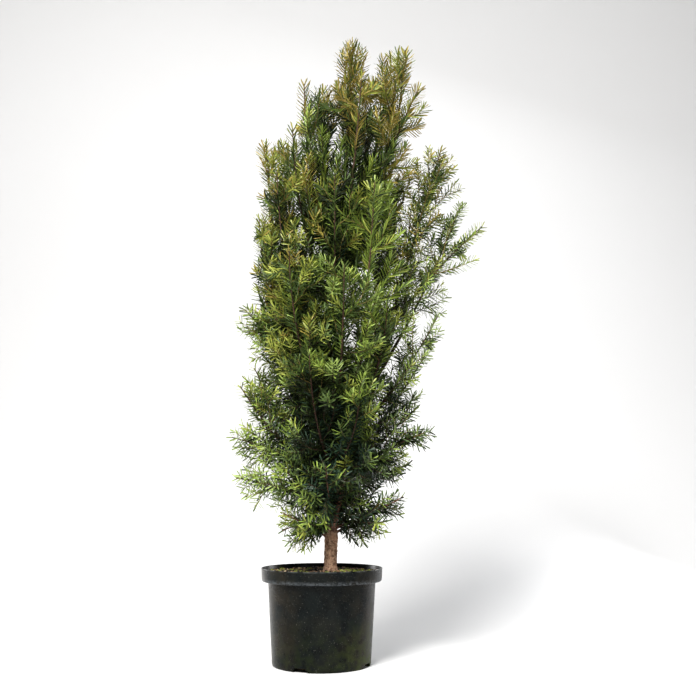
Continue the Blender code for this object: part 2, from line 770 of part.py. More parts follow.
def build_plume(limb, plumes, rods, parts, material, cutter):
    """One mass of foliage: a needled stem with needled side shoots, joined into one solid."""
    main_line, *side_lines = plumes[limb["name"]]
    plume = build_stem(limb, main_line, parts, material)
    grow_needles(plume, main_line, Space(main_line, plumes, rods))
    loose = new_collection(f"shoots_{limb['name']}")
    for k, line in enumerate(side_lines):
        radii = np.linspace(CORE_RADIUS, CORE_TIP_RADIUS, len(line))
        shoot = three_sided(f"shoot_{limb['name']}_{k}", line, radii, loose)
        needled = line[1:] if len(line) > 3 else line
        grow_needles(shoot, needled, Space(line, plumes, rods))
    join_shoots(plume, loose)
    if limb["on_trunk"]:
        apply_boolean(plume, "DIFFERENCE", other=cutter)
    keep_largest(plume)
    return plume


def unite(plume, stem, loose):
    """Joins the loose shoots onto the stem, and says whether that made one closed piece."""
    for solver in ("EXACT", "MANIFOLD"):
        plume.data = stem.copy()
        apply_boolean(plume, "UNION", solver, collection=loose)
        if is_whole(plume.data):
            return True
    return False


def join_shoots(plume, loose):
    """Joins the loose shoots onto the plume's stem. Where that fails, it leaves shoots out."""
    stem = plume.data
    while not unite(plume, stem, loose):
        bpy.data.objects.remove(loose.objects[-1])
    bpy.data.meshes.remove(stem)
    for obj in list(loose.objects):
        bpy.data.objects.remove(obj)
    bpy.data.collections.remove(loose)


def build_bough(limb, parts, material, cutter):
    """One limb from the trunk's side to where its plume begins."""
    count = max(5, round(limb["leafy_from"] / BOUGH_PIECE))
    line = stretch(limb["path"], 0, limb["leafy_from"], count)
    radii = [limb_radius(limb, d) for d in np.linspace(0, limb["leafy_from"], count)]
    bough = tube(f"bough_{limb['name']}", line, radii, 1, parts, material)
    apply_boolean(bough, "DIFFERENCE", other=cutter)
    keep_largest(bough)
    bough.data.shade_smooth()
    return bough


def main():
    """Builds the pot, the potting bark, the trunk, and each limb with its plume."""
    for obj in list(bpy.data.objects):
        bpy.data.objects.remove(obj)
    parts, cutters = new_collection("irish_yew"), new_collection("cutters")
    cutters.hide_render = True
    bark, needles = new_material("bark", *BARK), new_material("needles", *NEEDLES)
    build_pot(parts, cutters)
    build_soil(parts)
    build_trunk(parts, bark)
    cutter = trunk_cutter(cutters)
    limbs = plan_limbs()
    rods = rods_of(limbs)
    plumes = plan_shoots(limbs, rods)
    for limb in limbs:
        if limb["bough"]:
            build_bough(limb, parts, bark, cutter)
        build_plume(limb, plumes, rods, parts, needles, cutter)


main()
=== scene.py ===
"""The looks of an Irish yew in a nursery pot: bark, finer shoots and needles that grow on from the
limbs by the source's rule, the pot's worn plastic and the potting bark."""

import math

import bmesh
import bpy
import numpy as np
from mathutils import Matrix, Vector, noise


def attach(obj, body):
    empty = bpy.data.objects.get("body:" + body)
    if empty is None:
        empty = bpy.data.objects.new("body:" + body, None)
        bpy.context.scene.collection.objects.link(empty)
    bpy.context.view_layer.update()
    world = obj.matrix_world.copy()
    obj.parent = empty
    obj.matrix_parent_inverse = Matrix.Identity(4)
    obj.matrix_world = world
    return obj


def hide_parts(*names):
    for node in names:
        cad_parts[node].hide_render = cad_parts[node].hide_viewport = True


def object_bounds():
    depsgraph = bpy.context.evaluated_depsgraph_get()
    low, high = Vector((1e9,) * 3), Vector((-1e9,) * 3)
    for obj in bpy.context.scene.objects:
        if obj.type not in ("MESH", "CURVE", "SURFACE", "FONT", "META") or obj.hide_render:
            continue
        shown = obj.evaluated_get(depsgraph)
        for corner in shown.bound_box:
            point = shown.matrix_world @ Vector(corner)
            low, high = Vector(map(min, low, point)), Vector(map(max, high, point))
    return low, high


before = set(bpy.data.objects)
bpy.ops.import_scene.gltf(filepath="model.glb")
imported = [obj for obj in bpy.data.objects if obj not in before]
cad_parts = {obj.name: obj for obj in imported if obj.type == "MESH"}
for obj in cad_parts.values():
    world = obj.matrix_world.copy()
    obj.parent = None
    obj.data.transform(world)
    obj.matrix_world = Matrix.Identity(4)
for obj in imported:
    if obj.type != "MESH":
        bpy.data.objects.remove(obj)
cad_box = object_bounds()

# The pot, as in the source.
POT_HEIGHT = 0.216
RIM_RADIUS = 0.1405
RIM_FOOT_RADIUS = 0.139
RIM_BAND = 0.030
BODY_TOP_RADIUS = 0.1245
BODY_FOOT_RADIUS = 0.113
POT_WALL = 0.002
POT_FLOOR = 0.003
SLOT_COUNT = 4
SLOT_TURN = math.radians(-23.0)
SLOT_WIDTH = 0.036
SLOT_HEIGHT = 0.009
SLOT_DEPTH = 0.030

# What the pot has here alone: the slots' rounded corners, its steps round and its slight warp, and
# the angle from which an edge is sharp.
SLOT_CORNER = 0.004
POT_STEPS = 160
POT_WARP = 0.0016
POT_WARP_TURN = 0.7
SHARP_ANGLE = math.radians(38)

# The trunk, as in the source.
SOIL_TOP = 0.208
GAP = 0.0003
TRUNK_FOOT_X = 0.020
TRUNK_LEAN = 0.054
TRUNK_LEAN_POWER = 1.4
TRUNK_SWAY = 0.005
TRUNK_SWAY_TURN = 2.2 * math.pi
TREE_TOP = 1.533
TRUNK_TOP = 1.190
FORK_Z = 0.285
FORK_LENGTH = 0.045
FOOT_RADIUS = 0.0150
FORK_RADIUS = 0.0157
ABOVE_FORK_RADIUS = 0.0105
TRUNK_TOP_RADIUS = 0.0034
FLARE = 0.0030
FLARE_HEIGHT = 0.012

# The limbs, as in the source.
LIMB_LEAST_RADIUS = 0.0020
LIMB_RADIUS_SHARE = 0.0056
LIMB_TIP_RADIUS = 0.0011
LIMB_TAPER_POWER = 0.8
LIMB_POINTS = 25
START_LOW_Z = 0.288
LEAFY_LENGTH = 0.46
LEAFY_SHARE = 0.84
TIP_DROP = 0.010
LITTLE_WAY = 0.01

# How a limb is fitted past those before it, as in the source: the gap it keeps, the steps along its
# skin near the trunk and beyond, the steps round it, and how far its start may move up and its bend
# aside, in the order they are tried.
LIMB_GAP = 0.0032
NEAR_TRUNK = 0.15
NEAR_STEPS = 16
FAR_STEPS = 25
SKIN_STEPS = 8
START_SHIFTS = (0.0, 0.012, -0.012, 0.024, -0.024, 0.036, 0.048, 0.060, 0.072)
BEND_SHIFTS = (0.0, 0.02, -0.02, 0.04, -0.04, 0.06, -0.06)

# A habit, as in the source: bend out and up, arch, climb inside the trunk, inset of the tip.
FORKING = (0.70, 0.32, 0.0, 0.0, 0.022)
LIFTING = (0.64, 0.66, 0.0, 0.0, 0.022)
CRESTING = (0.92, 0.36, 0.0, 0.55, 0.012)
FLARING = (0.60, 0.70, 0.0, 0.55, 0.012)
UPRIGHT = (0.92, 0.38, 0.0, 0.36, 0.022)
LEANING = (0.50, 0.66, 0.0, 0.36, 0.020)
SPREADING = (0.58, 0.42, 0.004, 0.26, 0.018)
ARCHING = (0.50, 0.72, 0.0, 0.26, 0.018)
DROOPING = (0.50, 0.60, 0.040, 0.0, 0.020)

# A limb: its tip in metres, and its habit.
LIMBS = {
    "front_fresh": (0.135, -0.170, 1.110, FORKING),
    "shoulder_left": (-0.169, 0.030, 1.272, FORKING),
    "arm_high": (0.317, 0.010, 1.250, LIFTING),
    "back_high": (0.060, 0.185, 1.190, FORKING),
    "crest_right": (0.216, 0.010, 1.512, CRESTING),
    "crest_back": (0.130, 0.100, 1.460, CRESTING),
    "crest_middle": (0.162, 0.045, 1.484, CRESTING),
    "crest_lean": (0.247, -0.055, 1.383, FLARING),
    "crest_left": (-0.060, -0.040, 1.406, CRESTING),
    "crest_inner": (0.002, 0.092, 1.440, CRESTING),
    "crest_front": (0.100, -0.100, 1.400, CRESTING),
    "shoulder_front": (-0.080, -0.120, 1.256, CRESTING),
    "shoulder_right": (0.209, 0.110, 1.198, UPRIGHT),
    "arm_far": (0.409, -0.025, 1.040, LEANING),
    "arm_back": (0.370, 0.085, 1.130, SPREADING),
    "arm_low": (0.292, -0.060, 0.812, SPREADING),
    "arm_lower": (0.283, 0.050, 0.758, SPREADING),
    "left_shoulder": (-0.125, -0.120, 1.150, UPRIGHT),
    "left_high": (-0.175, -0.060, 1.052, UPRIGHT),
    "left_back": (-0.172, 0.105, 0.983, UPRIGHT),
    "left_bay": (-0.212, 0.010, 0.840, LEANING),
    "left_low": (-0.190, 0.090, 0.705, SPREADING),
    "left_flare": (-0.205, -0.090, 0.640, SPREADING),
    "left_reach": (-0.235, 0.010, 0.528, ARCHING),
    "left_hook": (-0.214, -0.060, 0.430, ARCHING),
    "left_foot": (-0.110, -0.030, 0.310, DROOPING),
    "left_skirt": (-0.102, -0.085, 0.352, SPREADING),
    "right_bay": (0.236, -0.020, 0.628, UPRIGHT),
    "right_reach": (0.272, -0.050, 0.540, ARCHING),
    "right_low": (0.226, 0.070, 0.466, SPREADING),
    "right_hook": (0.204, -0.060, 0.388, SPREADING),
    "right_foot": (0.154, 0.020, 0.300, DROOPING),
    "front_crown": (0.030, -0.175, 1.130, UPRIGHT),
    "front_left": (-0.085, -0.180, 0.940, UPRIGHT),
    "front_gold": (0.055, -0.215, 0.900, UPRIGHT),
    "front_right": (0.166, -0.150, 0.830, UPRIGHT),
    "front_middle": (-0.030, -0.205, 0.700, UPRIGHT),
    "front_low": (0.095, -0.185, 0.620, UPRIGHT),
    "front_foot": (0.010, -0.160, 0.455, SPREADING),
    "left_inner": (-0.100, -0.070, 0.450, SPREADING),
    "right_inner": (0.130, 0.000, 0.440, SPREADING),
    "inner_left": (-0.080, -0.060, 0.600, UPRIGHT),
    "inner_right": (0.115, -0.060, 0.600, UPRIGHT),
    "back_left": (-0.070, 0.190, 0.930, UPRIGHT),
    "back_right": (0.175, 0.190, 0.880, UPRIGHT),
    "back_middle": (0.050, 0.210, 0.720, UPRIGHT),
    "back_low": (-0.060, 0.170, 0.560, SPREADING),
    "back_foot": (0.080, 0.160, 0.440, SPREADING),
}

# The tones of needles, as plain colours. The near-black tone and the blue one are partly the darker
# green of old inner needles and partly painted shade of the crown's inside.
TONES = {
    "bronze": (0.312, 0.252, 0.064),
    "olive": (0.240, 0.268, 0.054),
    "gold": (0.320, 0.362, 0.080),
    "fresh": (0.226, 0.304, 0.064),
    "lime": (0.290, 0.378, 0.115),
    "green": (0.088, 0.132, 0.041),
    "deep": (0.013, 0.020, 0.005),
    "blue": (0.030, 0.058, 0.036),
}

# The tones that some needles on a spray of each tone have instead.
ACCENT_SHARE = 0.32
ACCENT_SPRAYS = 0.25
ACCENTS = {
    "bronze": ("olive", "green"), "olive": ("bronze", "green"), "gold": ("olive", "green"),
    "fresh": ("gold", "green"), "lime": ("fresh", "green"), "green": ("fresh", "deep"),
    "deep": ("blue", "green"), "blue": ("deep", "green"),
}

# Which tones a limb's shoots have: at their tips, further down, and on the oldest wood inside,
# where the darker tones are partly painted shade. A limb has those of the longest beginning of its
# name that is here.
TONES_OF = {
    ("bronze", "green", "deep"): ("crest",),
    ("bronze", "olive", "deep"): ("back_high",),
    ("olive", "green", "deep"): ("shoulder", "front_crown", "left_shoulder", "arm_high"),
    ("olive", "deep", "deep"): ("left_back",),
    ("gold", "green", "deep"): ("front_left", "left_high", "back_left"),
    ("fresh", "fresh", "green"): ("front_fresh",),
    ("fresh", "green", "deep"): ("front_right", "arm_far"),
    ("fresh", "green", "blue"): ("left",),
    ("lime", "green", "deep"): ("front_gold", "arm"),
    ("lime", "green", "blue"): ("left_foot", "left_hook", "left_reach"),
    ("green", "deep", "blue"): ("front_middle", "right", "back"),
    ("green", "blue", "blue"): ("front_low", "front_foot", "inner"),
}

# How far back from its tip a shoot has young needles: longer on the crest and the shoulders.
YOUNG_SPAN = (0.022, 0.050)
YOUNG_SPANS = {"crest": (0.08, 0.17), "shoulder": (0.05, 0.11)}

# Side shoots, finer and closer than the source's: distances in metres, turns in radians.
GOLDEN_ANGLE = math.radians(137.508)
TURN_SPREAD = 0.25
OTHER_TURNS = (0.0, 0.7, -0.7, 1.4, -1.4, 2.2, -2.2, math.pi)
SIDE_SKEW = 0.13
SHOOT_BEND = 0.38
SHOOT_BEND_OUT = 0.95
SAMPLE = 0.008
BARE_FOOT = 0.024
CREST_FOOT = 0.01
BARE_END = 0.03
LEAST_SHOOT = 0.035
STEP_SPREAD = (0.8, 1.25)
INNER_STEP = 0.016
INNER_LENGTHS = (0.045, 0.100)

# Twigs on side shoots.
TWIG_FOOT = 0.018
TWIG_UNDER_TIP = 0.005
TWIG_TURN_SPREAD = 0.5
TWIG_STEP_SPREAD = (0.8, 1.3)

# Flat shoots, which spread level beside their stem instead of standing up along it.
FLAT_FROM = 0.6
FLAT_RISE = 0.7
FLAT_REACH = 0.7
FLAT_ALONG = 0.85
FLAT_BEND = 0.40
FLAT_BEND_OUT = 0.62

# The room round shoots and limbs, kept as cells of the crown, how crowded a new shoot's cells may
# be, and how far it keeps off the trunk.
CELL = 0.006
GRID_MARGIN = 0.05
LIMB_ROOM = 0.012
CROWDED = 0.30
TRUNK_ROOM = 0.004

# How far from the trunk's axis shoots may end: a little past their limb's tip, less an inset that
# grows with their length, and never less than the leader is wide.
OUTSIDE_TIP = 0.014
OUTSIDE_ARM_HIGH = 0.050
LEADER_WIDTH = 0.040
INSET = 0.055
FULL_INSET_LENGTH = 0.10

# How shoots grow, in styles. Side shoots: "step" apart, of "lengths", up to "beside" out from the
# limb, each with "room" round it, none ending nearer than "under_tip" to the limb's own tip; twigs
# the same. The limb bears needles itself on its last "own" metres. Needles: their length, width,
# curl and distance apart, their "lean" from the shoot in degrees, how far they "hang", and how far
# they are "ranked" in two rows.
ERECT = {
    "step": 0.042, "lengths": (0.100, 0.190), "beside": (0.058, 0.046, 0.036, 0.026),
    "room": 0.0215, "twig_step": 0.058, "twigs": (0.050, 0.100), "twig_beside": (0.030, 0.024),
    "own": 0.42, "under_tip": 0.032, "needle": 0.0310, "lean": 60.0, "needle_step": 0.00170,
    "ranked": 0.10, "hang": 0.0, "curl": 0.16, "width": 0.0030,
}
BUSHY = {
    "step": 0.025, "lengths": (0.070, 0.140), "beside": (0.056, 0.042, 0.030, 0.020),
    "room": 0.0120, "twig_step": 0.029, "twigs": (0.035, 0.075), "twig_beside": (0.028, 0.020),
    "own": 0.40, "under_tip": 0.022, "needle": 0.0262, "lean": 63.0, "needle_step": 0.00195,
    "ranked": 0.35, "hang": 0.02, "curl": 0.12, "width": 0.0032,
}
SPRAY = {
    "step": 0.016, "lengths": (0.060, 0.125), "beside": (0.052, 0.040, 0.028),
    "room": 0.0095, "twig_step": 0.027, "twigs": (0.035, 0.065), "twig_beside": (0.028, 0.020),
    "own": 0.26, "under_tip": 0.014, "needle": 0.0240, "lean": 67.0, "needle_step": 0.00255,
    "ranked": 0.8, "hang": 0.05, "curl": 0.09, "width": 0.0034,
}
LEADING = ERECT | {"step": 0.046, "beside": (0.026, 0.021), "under_tip": 0.024, "room": 0.016}
SLIM = ERECT | {"beside": (0.034, 0.024, 0.016), "lengths": (0.070, 0.130)}
AIRY = SPRAY | {
    "step": 0.033, "lengths": (0.070, 0.140), "beside": (0.060, 0.048, 0.034), "room": 0.016,
    "twig_step": 0.040, "needle": 0.0225, "lean": 66.0, "needle_step": 0.00215, "curl": 0.14,
    "width": 0.0030,
}
LEAFY_ARM = AIRY | {"step": 0.015, "lengths": (0.080, 0.150), "room": 0.0125}
GROWTH = {FORKING: ERECT, LIFTING: SLIM, CRESTING: ERECT, FLARING: SLIM, UPRIGHT: BUSHY}

# Limbs that stay bare below, so that one sees through between the crown and the arms.
CLEAR_ARMS = ("arm_high", "arm_far", "arm_back", "shoulder_right")
CLEAR_SHARE = 0.45

# Low limbs with short sprays that hang in front of the fork.
FORK_LIMBS = ("front_foot", "left_inner", "right_inner", "left_skirt", "right_foot", "right_hook")
FORK_SPRAYS = 5
FORK_SPAN = (0.020, 0.075)
FORK_SPREAD = 0.35
FORK_FORWARD = -0.55
FORK_LENGTHS = (0.034, 0.058)
FORK_DROPS = (0.30, 0.85)
FORK_BEND = 0.5
FORK_BEND_RISE = 0.004
FORK_REACH = 0.8

# How far out in the crown a shoot takes young tones, and how far in it takes only the darkest, as
# partly painted shade: the crown's radius by height, the heights where the crest counts as outside,
# and the shares at which tones change.
CROWN_RADII = ((0.30, 0.50, 0.90, 1.20, 1.40, 1.53), (0.12, 0.20, 0.20, 0.17, 0.12, 0.06))
CREST_FROM = 1.24
CREST_DEPTH = 0.16
DEPTH_SPREAD = 0.10
OUTER = 0.70
SHADED_INNER = 0.48

# Needles: how they turn round the shoot, and how they close and shorten at its tip and foot.
NEEDLE_TURN = math.radians(142.4)
NEEDLE_TURN_SPREAD = 0.06
RANK_TILT = 0.55
LEAST_NEEDLES = 6
PLACE_SPREAD = 0.12
CLOSING_LENGTH = 0.018
CLOSING_LEAN = math.radians(30)
CLOSING_POWER = 1.5
CLOSING_SHARE = 0.35
LEAN_SPREAD = 0.045
LENGTH_SPREAD = (0.92, 1.08)
FOOT_SHARE = 0.62
FOOT_LENGTH = 0.03
TWIST_SPREAD = 0.20
CURL_SPREAD = 0.05
NEEDLES_A_PIECE = 24000

# A needle's outline: how far along, how far across and how far its ridge stands up, per point.
NEEDLE_POINTS = (
    (0.00, 0.0, 0.00),
    (0.10, -0.44, 0.00),
    (0.10, 0.0, 0.16),
    (0.10, 0.44, 0.00),
    (0.82, -0.48, 0.00),
    (0.82, 0.0, 0.16),
    (0.82, 0.48, 0.00),
    (1.00, 0.0, 0.00),
)
NEEDLE_QUADS = ((1, 2, 5, 4), (2, 3, 6, 5))
NEEDLE_TRIANGLES = ((0, 2, 1), (0, 3, 2), (4, 5, 7), (5, 6, 7))

# Twigs' wood: where young skin begins, and radii at the foot, by length, and at the tip.
YOUNG_FROM = 0.45
TWIG_RADIUS = 0.0006
TWIG_RADIUS_SHARE = 0.0065
TWIG_TIP_RADIUS = 0.0005
TWIG_COLORS = {"young": (0.22, 0.160, 0.050), "old": (0.085, 0.052, 0.030)}

# The trunk's bark: how far apart its rings are below the crown and in it, its steps round, its
# waves as scale and strength, its lumps as scale round, scale up and strength, then its grain and
# how far that stands out and is set in.
TRUNK_RING = 0.0012
CROWN_RING = 0.004
TRUNK_STEPS = 72
TRUNK_WAVES = (22.0, 0.05)
TRUNK_LUMPS = (0.9, 16.0, 0.09)
BARK_SCALE = 230.0
BARK_RELIEF = 0.0013
BARK_INSET = 0.0004

# The limbs' wood: steps round, distance between rings, how far it runs past the limb's tip, its
# lumps and grain as scale and strength, and the collar where a limb leaves the trunk.
LIMB_STEPS = 12
LIMB_RING = 0.012
LEAST_RINGS = 16
LIMB_END = 0.004
LIMB_LUMPS = (140.0, 0.12)
LIMB_GRAIN = (420.0, 0.06)
COLLAR = 0.45
COLLAR_LENGTH = 0.010

# The colours of bark: light, dark and another tint.
BARKS = {
    "trunk bark": ((0.46, 0.308, 0.208), (0.125, 0.066, 0.040), (0.35, 0.188, 0.114)),
    "limb bark": ((0.30, 0.165, 0.110), (0.10, 0.056, 0.038), (0.33, 0.130, 0.085)),
}

# The pot's plastic: its dark and light, and the colours of soil stains, algae, the pale ledge,
# specks and the worn lip.
POT_COLORS = ((0.0015, 0.0029, 0.0031), (0.0062, 0.0092, 0.0090))
POT_STAINS = (
    (0.034, 0.026, 0.015), (0.058, 0.078, 0.016), (0.20, 0.22, 0.24), (0.15, 0.15, 0.13),
    (0.12, 0.13, 0.13),
)

# The potting bark: the room between it and the pot, and what lies on it, as each material's
# name, light and dark colour and grain, then the count, the sizes and the flatness.
SOIL_ROOM = 0.0012
SOIL_EDGE = 0.134
CHIPS = {
    "chips_brown": (
        ("brown chips", (0.330, 0.195, 0.110), (0.105, 0.060, 0.034), 260.0),
        700, (0.0016, 0.0042), 0.45,
    ),
    "chips_tan": (
        ("tan chips", (0.68, 0.56, 0.38), (0.32, 0.23, 0.14), 260.0), 330, (0.0014, 0.0036), 0.40
    ),
    "chips_dark": (
        ("dark chips", (0.035, 0.025, 0.016), (0.010, 0.008, 0.006), 260.0),
        620, (0.0018, 0.0050), 0.45,
    ),
    "grit": (
        ("pale grit", (0.74, 0.70, 0.60), (0.45, 0.40, 0.32), 300.0), 130, (0.0008, 0.0018), 0.8
    ),
}

# Chips: how far they keep off the trunk, how lumpy, stretched and tilted they are, and how high
# they lie, as a share of their thickness.
CHIPS_OFF_TRUNK = 0.018
CHIP_LUMPS = (0.6, 1.15)
CHIP_STRETCH = (0.8, 1.9)
CHIP_TILT = 0.35
CHIP_RISE = 0.3

# The potting bark's surface: how far it lies below its top, its humps as scale and height, and the
# mound round the trunk.
SOIL_SINK = 0.0030
SOIL_HUMPS = ((18.0, 0.0022), (60.0, 0.0016), (190.0, 0.0010))
MOUND_HEIGHT = 0.0035
MOUND_RADIUS = 0.045

# Moss: its cushions, how far out they lie, their widths and rise, the leaves on each metre of
# width, and half a leaf's width, its lean, root and heights.
MOSS_CUSHIONS = 75
MOSS_RING = (0.045, 0.130)
MOSS_OFF_TRUNK = 0.019
MOSS_WIDTHS = (0.004, 0.012)
MOSS_RISE = 0.0030
MOSS_LEAVES = 7500
MOSS_LEAF = 0.0007
MOSS_LEAN = 0.0012
MOSS_ROOT = 0.002
MOSS_HEIGHTS = (0.0012, 0.0030)

# The stage: half its width, its front, back and top, the sweep's radius, and its colour.
STAGE_HALF = 9.0
STAGE_FRONT = -7.0
STAGE_BACK = 2.7
STAGE_TOP = 8.0
STAGE_RADIUS = 2.2
STAGE_COLOR = (0.72, 0.725, 0.735)

# The lights: place, target, size, power and colour.
WORLD_STRENGTH = 0.08
CROWN_MIDDLE = (0.05, 0.0, 0.85)
POT_MIDDLE = (0.0, 0.0, 0.15)
LIGHTS = {
    "key": ((-1.1, -2.8, 3.5), CROWN_MIDDLE, 1.8, 300.0, (1.0, 0.98, 0.95)),
    "fill": ((1.7, -3.0, 1.1), CROWN_MIDDLE, 2.4, 23.0, (0.96, 0.98, 1.0)),
    "back": ((0.9, 1.1, 3.4), CROWN_MIDDLE, 1.4, 30.0, (1.0, 1.0, 1.0)),
    "edge left": ((-1.3, 0.9, 0.5), POT_MIDDLE, 0.6, 6.0, (1.0, 1.0, 1.0)),
    "edge right": ((1.4, 0.9, 0.5), POT_MIDDLE, 0.6, 6.0, (1.0, 1.0, 1.0)),
}

# The camera, solved on the photograph: its place, and lengths in the photograph's pixels.
CAMERA_PLACE = (0.0607, -2.148, 0.3796)
SENSOR = 36.0
PHOTO_WIDTH = 696.0
FOCAL_PIXELS = 900.0
RISE_PIXELS = 148.0

SEED = 12


def axis_point(z):
    """The trunk's axis at a height."""
    share = max(0.0, (z - SOIL_TOP) / (TREE_TOP - SOIL_TOP))
    x = TRUNK_FOOT_X + TRUNK_LEAN * share**TRUNK_LEAN_POWER
    y = TRUNK_SWAY * math.sin(TRUNK_SWAY_TURN * share)
    return np.array([x, y, z])


def trunk_radius(z):
    """The trunk's radius at a height, thicker under the fork and flared at the foot."""
    flare = FLARE * max(0.0, 1 - (z - SOIL_TOP) / FLARE_HEIGHT)
    if z <= FORK_Z:
        share = (z - SOIL_TOP) / (FORK_Z - SOIL_TOP)
        return FOOT_RADIUS + (FORK_RADIUS - FOOT_RADIUS) * share + flare
    if z <= FORK_Z + FORK_LENGTH:
        share = (z - FORK_Z) / FORK_LENGTH
        return FORK_RADIUS + (ABOVE_FORK_RADIUS - FORK_RADIUS) * share
    share = min(1.0, (z - FORK_Z - FORK_LENGTH) / (TRUNK_TOP - FORK_Z - FORK_LENGTH))
    return ABOVE_FORK_RADIUS + (TRUNK_TOP_RADIUS - ABOVE_FORK_RADIUS) * share


def arc_lengths(path):
    """The distance along a path at each of its points."""
    return np.concatenate([[0.0], np.cumsum(np.linalg.norm(np.diff(path, axis=0), axis=1))])


def point_at(path, distance):
    """The point at a distance along a path."""
    along = arc_lengths(path)
    return np.array([np.interp(distance, along, path[:, i]) for i in range(3)])


def direction_at(path, distance):
    """The unit direction of a path at a distance along it."""
    way = point_at(path, distance + LITTLE_WAY) - point_at(path, distance - LITTLE_WAY)
    return way / np.linalg.norm(way)


def bend_line(start, bend, tip, count):
    """A curve with one bend, as evenly numbered points."""
    t = np.linspace(0, 1, count)[:, None]
    return (1 - t) ** 2 * start + 2 * t * (1 - t) * bend + t**2 * tip


def limb_corners(name, start_shift, bend_shift):
    """A limb's start on the trunk's axis, its bend and its tip."""
    x, y, z, (out, up, arch, climb, inset) = LIMBS[name]
    start = axis_point(START_LOW_Z + climb * max(0.0, z - START_LOW_Z) + start_shift)
    tip = np.array([x, y, z])
    inward = (start - tip) * [1, 1, 0]
    tip += inward / np.linalg.norm(inward) * inset + [0, 0, -TIP_DROP]
    way = tip - start
    aside = np.array([-way[1], way[0], 0.0]) / np.hypot(way[0], way[1])
    bend = start + way * [out, out, up] + [0, 0, arch] + aside * bend_shift
    return start, bend, tip


def new_limb(name, corners):
    """A limb's line, its radius at the root, and where its leafy stem begins."""
    path = bend_line(*corners, LIMB_POINTS)
    length = arc_lengths(path)[-1]
    limb = {"name": name, "corners": corners, "path": path, "length": length}
    limb["leafy_from"] = length - min(LEAFY_LENGTH, LEAFY_SHARE * length)
    limb["root"] = LIMB_LEAST_RADIUS + LIMB_RADIUS_SHARE * length
    return limb


def limb_radius(limb, distance):
    """A limb's radius at a distance along it."""
    share = (distance / limb["length"]) ** LIMB_TAPER_POWER
    return limb["root"] + (LIMB_TIP_RADIUS - limb["root"]) * share


def off_bark(point):
    """How far a point is outside the trunk's skin, or below nought inside it."""
    off = np.hypot(*(point - axis_point(point[2]))[:2])
    return off - trunk_radius(min(point[2], TRUNK_TOP))


def distances(points, starts, ends):
    """The distance from each point to each straight piece, as a table."""
    way = ends - starts
    share = np.einsum("pik,ik->pi", points[:, None] - starts, way) / (way**2).sum(1)
    nearest = starts + np.clip(share, 0, 1)[..., None] * way
    return np.linalg.norm(points[:, None] - nearest, axis=2)


def skin_outside_trunk(limb):
    """Points on the limb's skin, wherever it stands outside the trunk."""
    near = min(NEAR_TRUNK, limb["length"] / 2)
    beyond = np.linspace(near, limb["length"], FAR_STEPS)[1:]
    found = []
    for distance in [*np.linspace(0, near, NEAR_STEPS), *beyond]:
        middle = point_at(limb["path"], distance)
        along = direction_at(limb["path"], distance)
        across = np.array(Vector(along).orthogonal().normalized())
        other = np.cross(along, across)
        for turn in turns_round(SKIN_STEPS):
            way = math.cos(turn) * across + math.sin(turn) * other
            found.append(middle + way * limb_radius(limb, distance))
    return np.array([p for p in found if off_bark(p) > 0 or p[2] > TRUNK_TOP])


def is_clear(limb, placed):
    """Whether a limb passes all the limbs already placed."""
    skin = skin_outside_trunk(limb)
    for other in placed:
        line = other["path"]
        thick = np.array([limb_radius(other, d) for d in arc_lengths(line)[:-1]])
        if (distances(skin, line[:-1], line[1:]) - thick).min() < LIMB_GAP:
            return False
    return True


def plan_limbs():
    """The crest, then every limb, shifted a little where it would touch one already placed."""
    low, middle, top = (axis_point(z) for z in np.linspace(TRUNK_TOP, TREE_TOP - TIP_DROP, 3))
    crest = new_limb("crest", (low, 2 * middle - (low + top) / 2, top))
    crest.update(leafy_from=GAP, root=TRUNK_TOP_RADIUS)
    placed = [crest]
    for name in LIMBS:
        shifts = [(s, b) for b in BEND_SHIFTS for s in START_SHIFTS]
        limbs = (new_limb(name, limb_corners(name, *shift)) for shift in shifts)
        placed.append(next(limb for limb in limbs if is_clear(limb, placed)))
    return placed


class Space:
    """Which cells of the crown already hold a shoot, so that shoots spread evenly."""

    def __init__(self):
        low, high = Vector(cad_box[0]), Vector(cad_box[1])
        self.low = np.array(low) - GRID_MARGIN
        self.shape = np.ceil((np.array(high) + GRID_MARGIN - self.low) / CELL).astype(int)
        self.taken = np.zeros(self.shape, bool)

    def cells(self, points):
        """The cell of each point, kept inside the grid."""
        return np.clip(((points - self.low) / CELL).astype(int), 0, self.shape - 1)

    def crowding(self, points):
        """The share of the points that lie in taken cells."""
        return self.taken[tuple(self.cells(points).T)].mean()

    def take(self, points, room):
        """Marks the cells round the points."""
        reach = int(room / CELL) + 1
        steps = np.arange(-reach, reach + 1)
        ball = np.stack(np.meshgrid(steps, steps, steps, indexing="ij"), -1).reshape(-1, 3)
        ball = ball[np.linalg.norm(ball * CELL, axis=1) <= room]
        cells = self.cells(points)[:, None] + ball
        cells = np.clip(cells, 0, self.shape - 1).reshape(-1, 3)
        self.taken[tuple(cells.T)] = True


def side_corners(path, at, turn, beside, length, flat):
    """The corners of a side shoot's curve: out from the stem and up beside it."""
    root = point_at(path, at)
    along = direction_at(path, at)
    if not flat:
        side = np.cross(along, [math.cos(turn), math.sin(turn), SIDE_SKEW])
        side /= np.linalg.norm(side)
        bend = root + side * beside * SHOOT_BEND_OUT + along * length * SHOOT_BEND
        return root, bend, root + side * beside + along * length
    level = np.cross(along, [0.0, 0.0, 1.0])
    level /= np.linalg.norm(level)
    side = level * math.cos(turn) + np.cross(level, along) * math.sin(turn) * FLAT_RISE
    side *= min(beside, FLAT_REACH * length) / np.linalg.norm(side)
    bend = root + side * FLAT_BEND_OUT + along * length * FLAT_BEND
    return root, bend, root + side + along * length * FLAT_ALONG


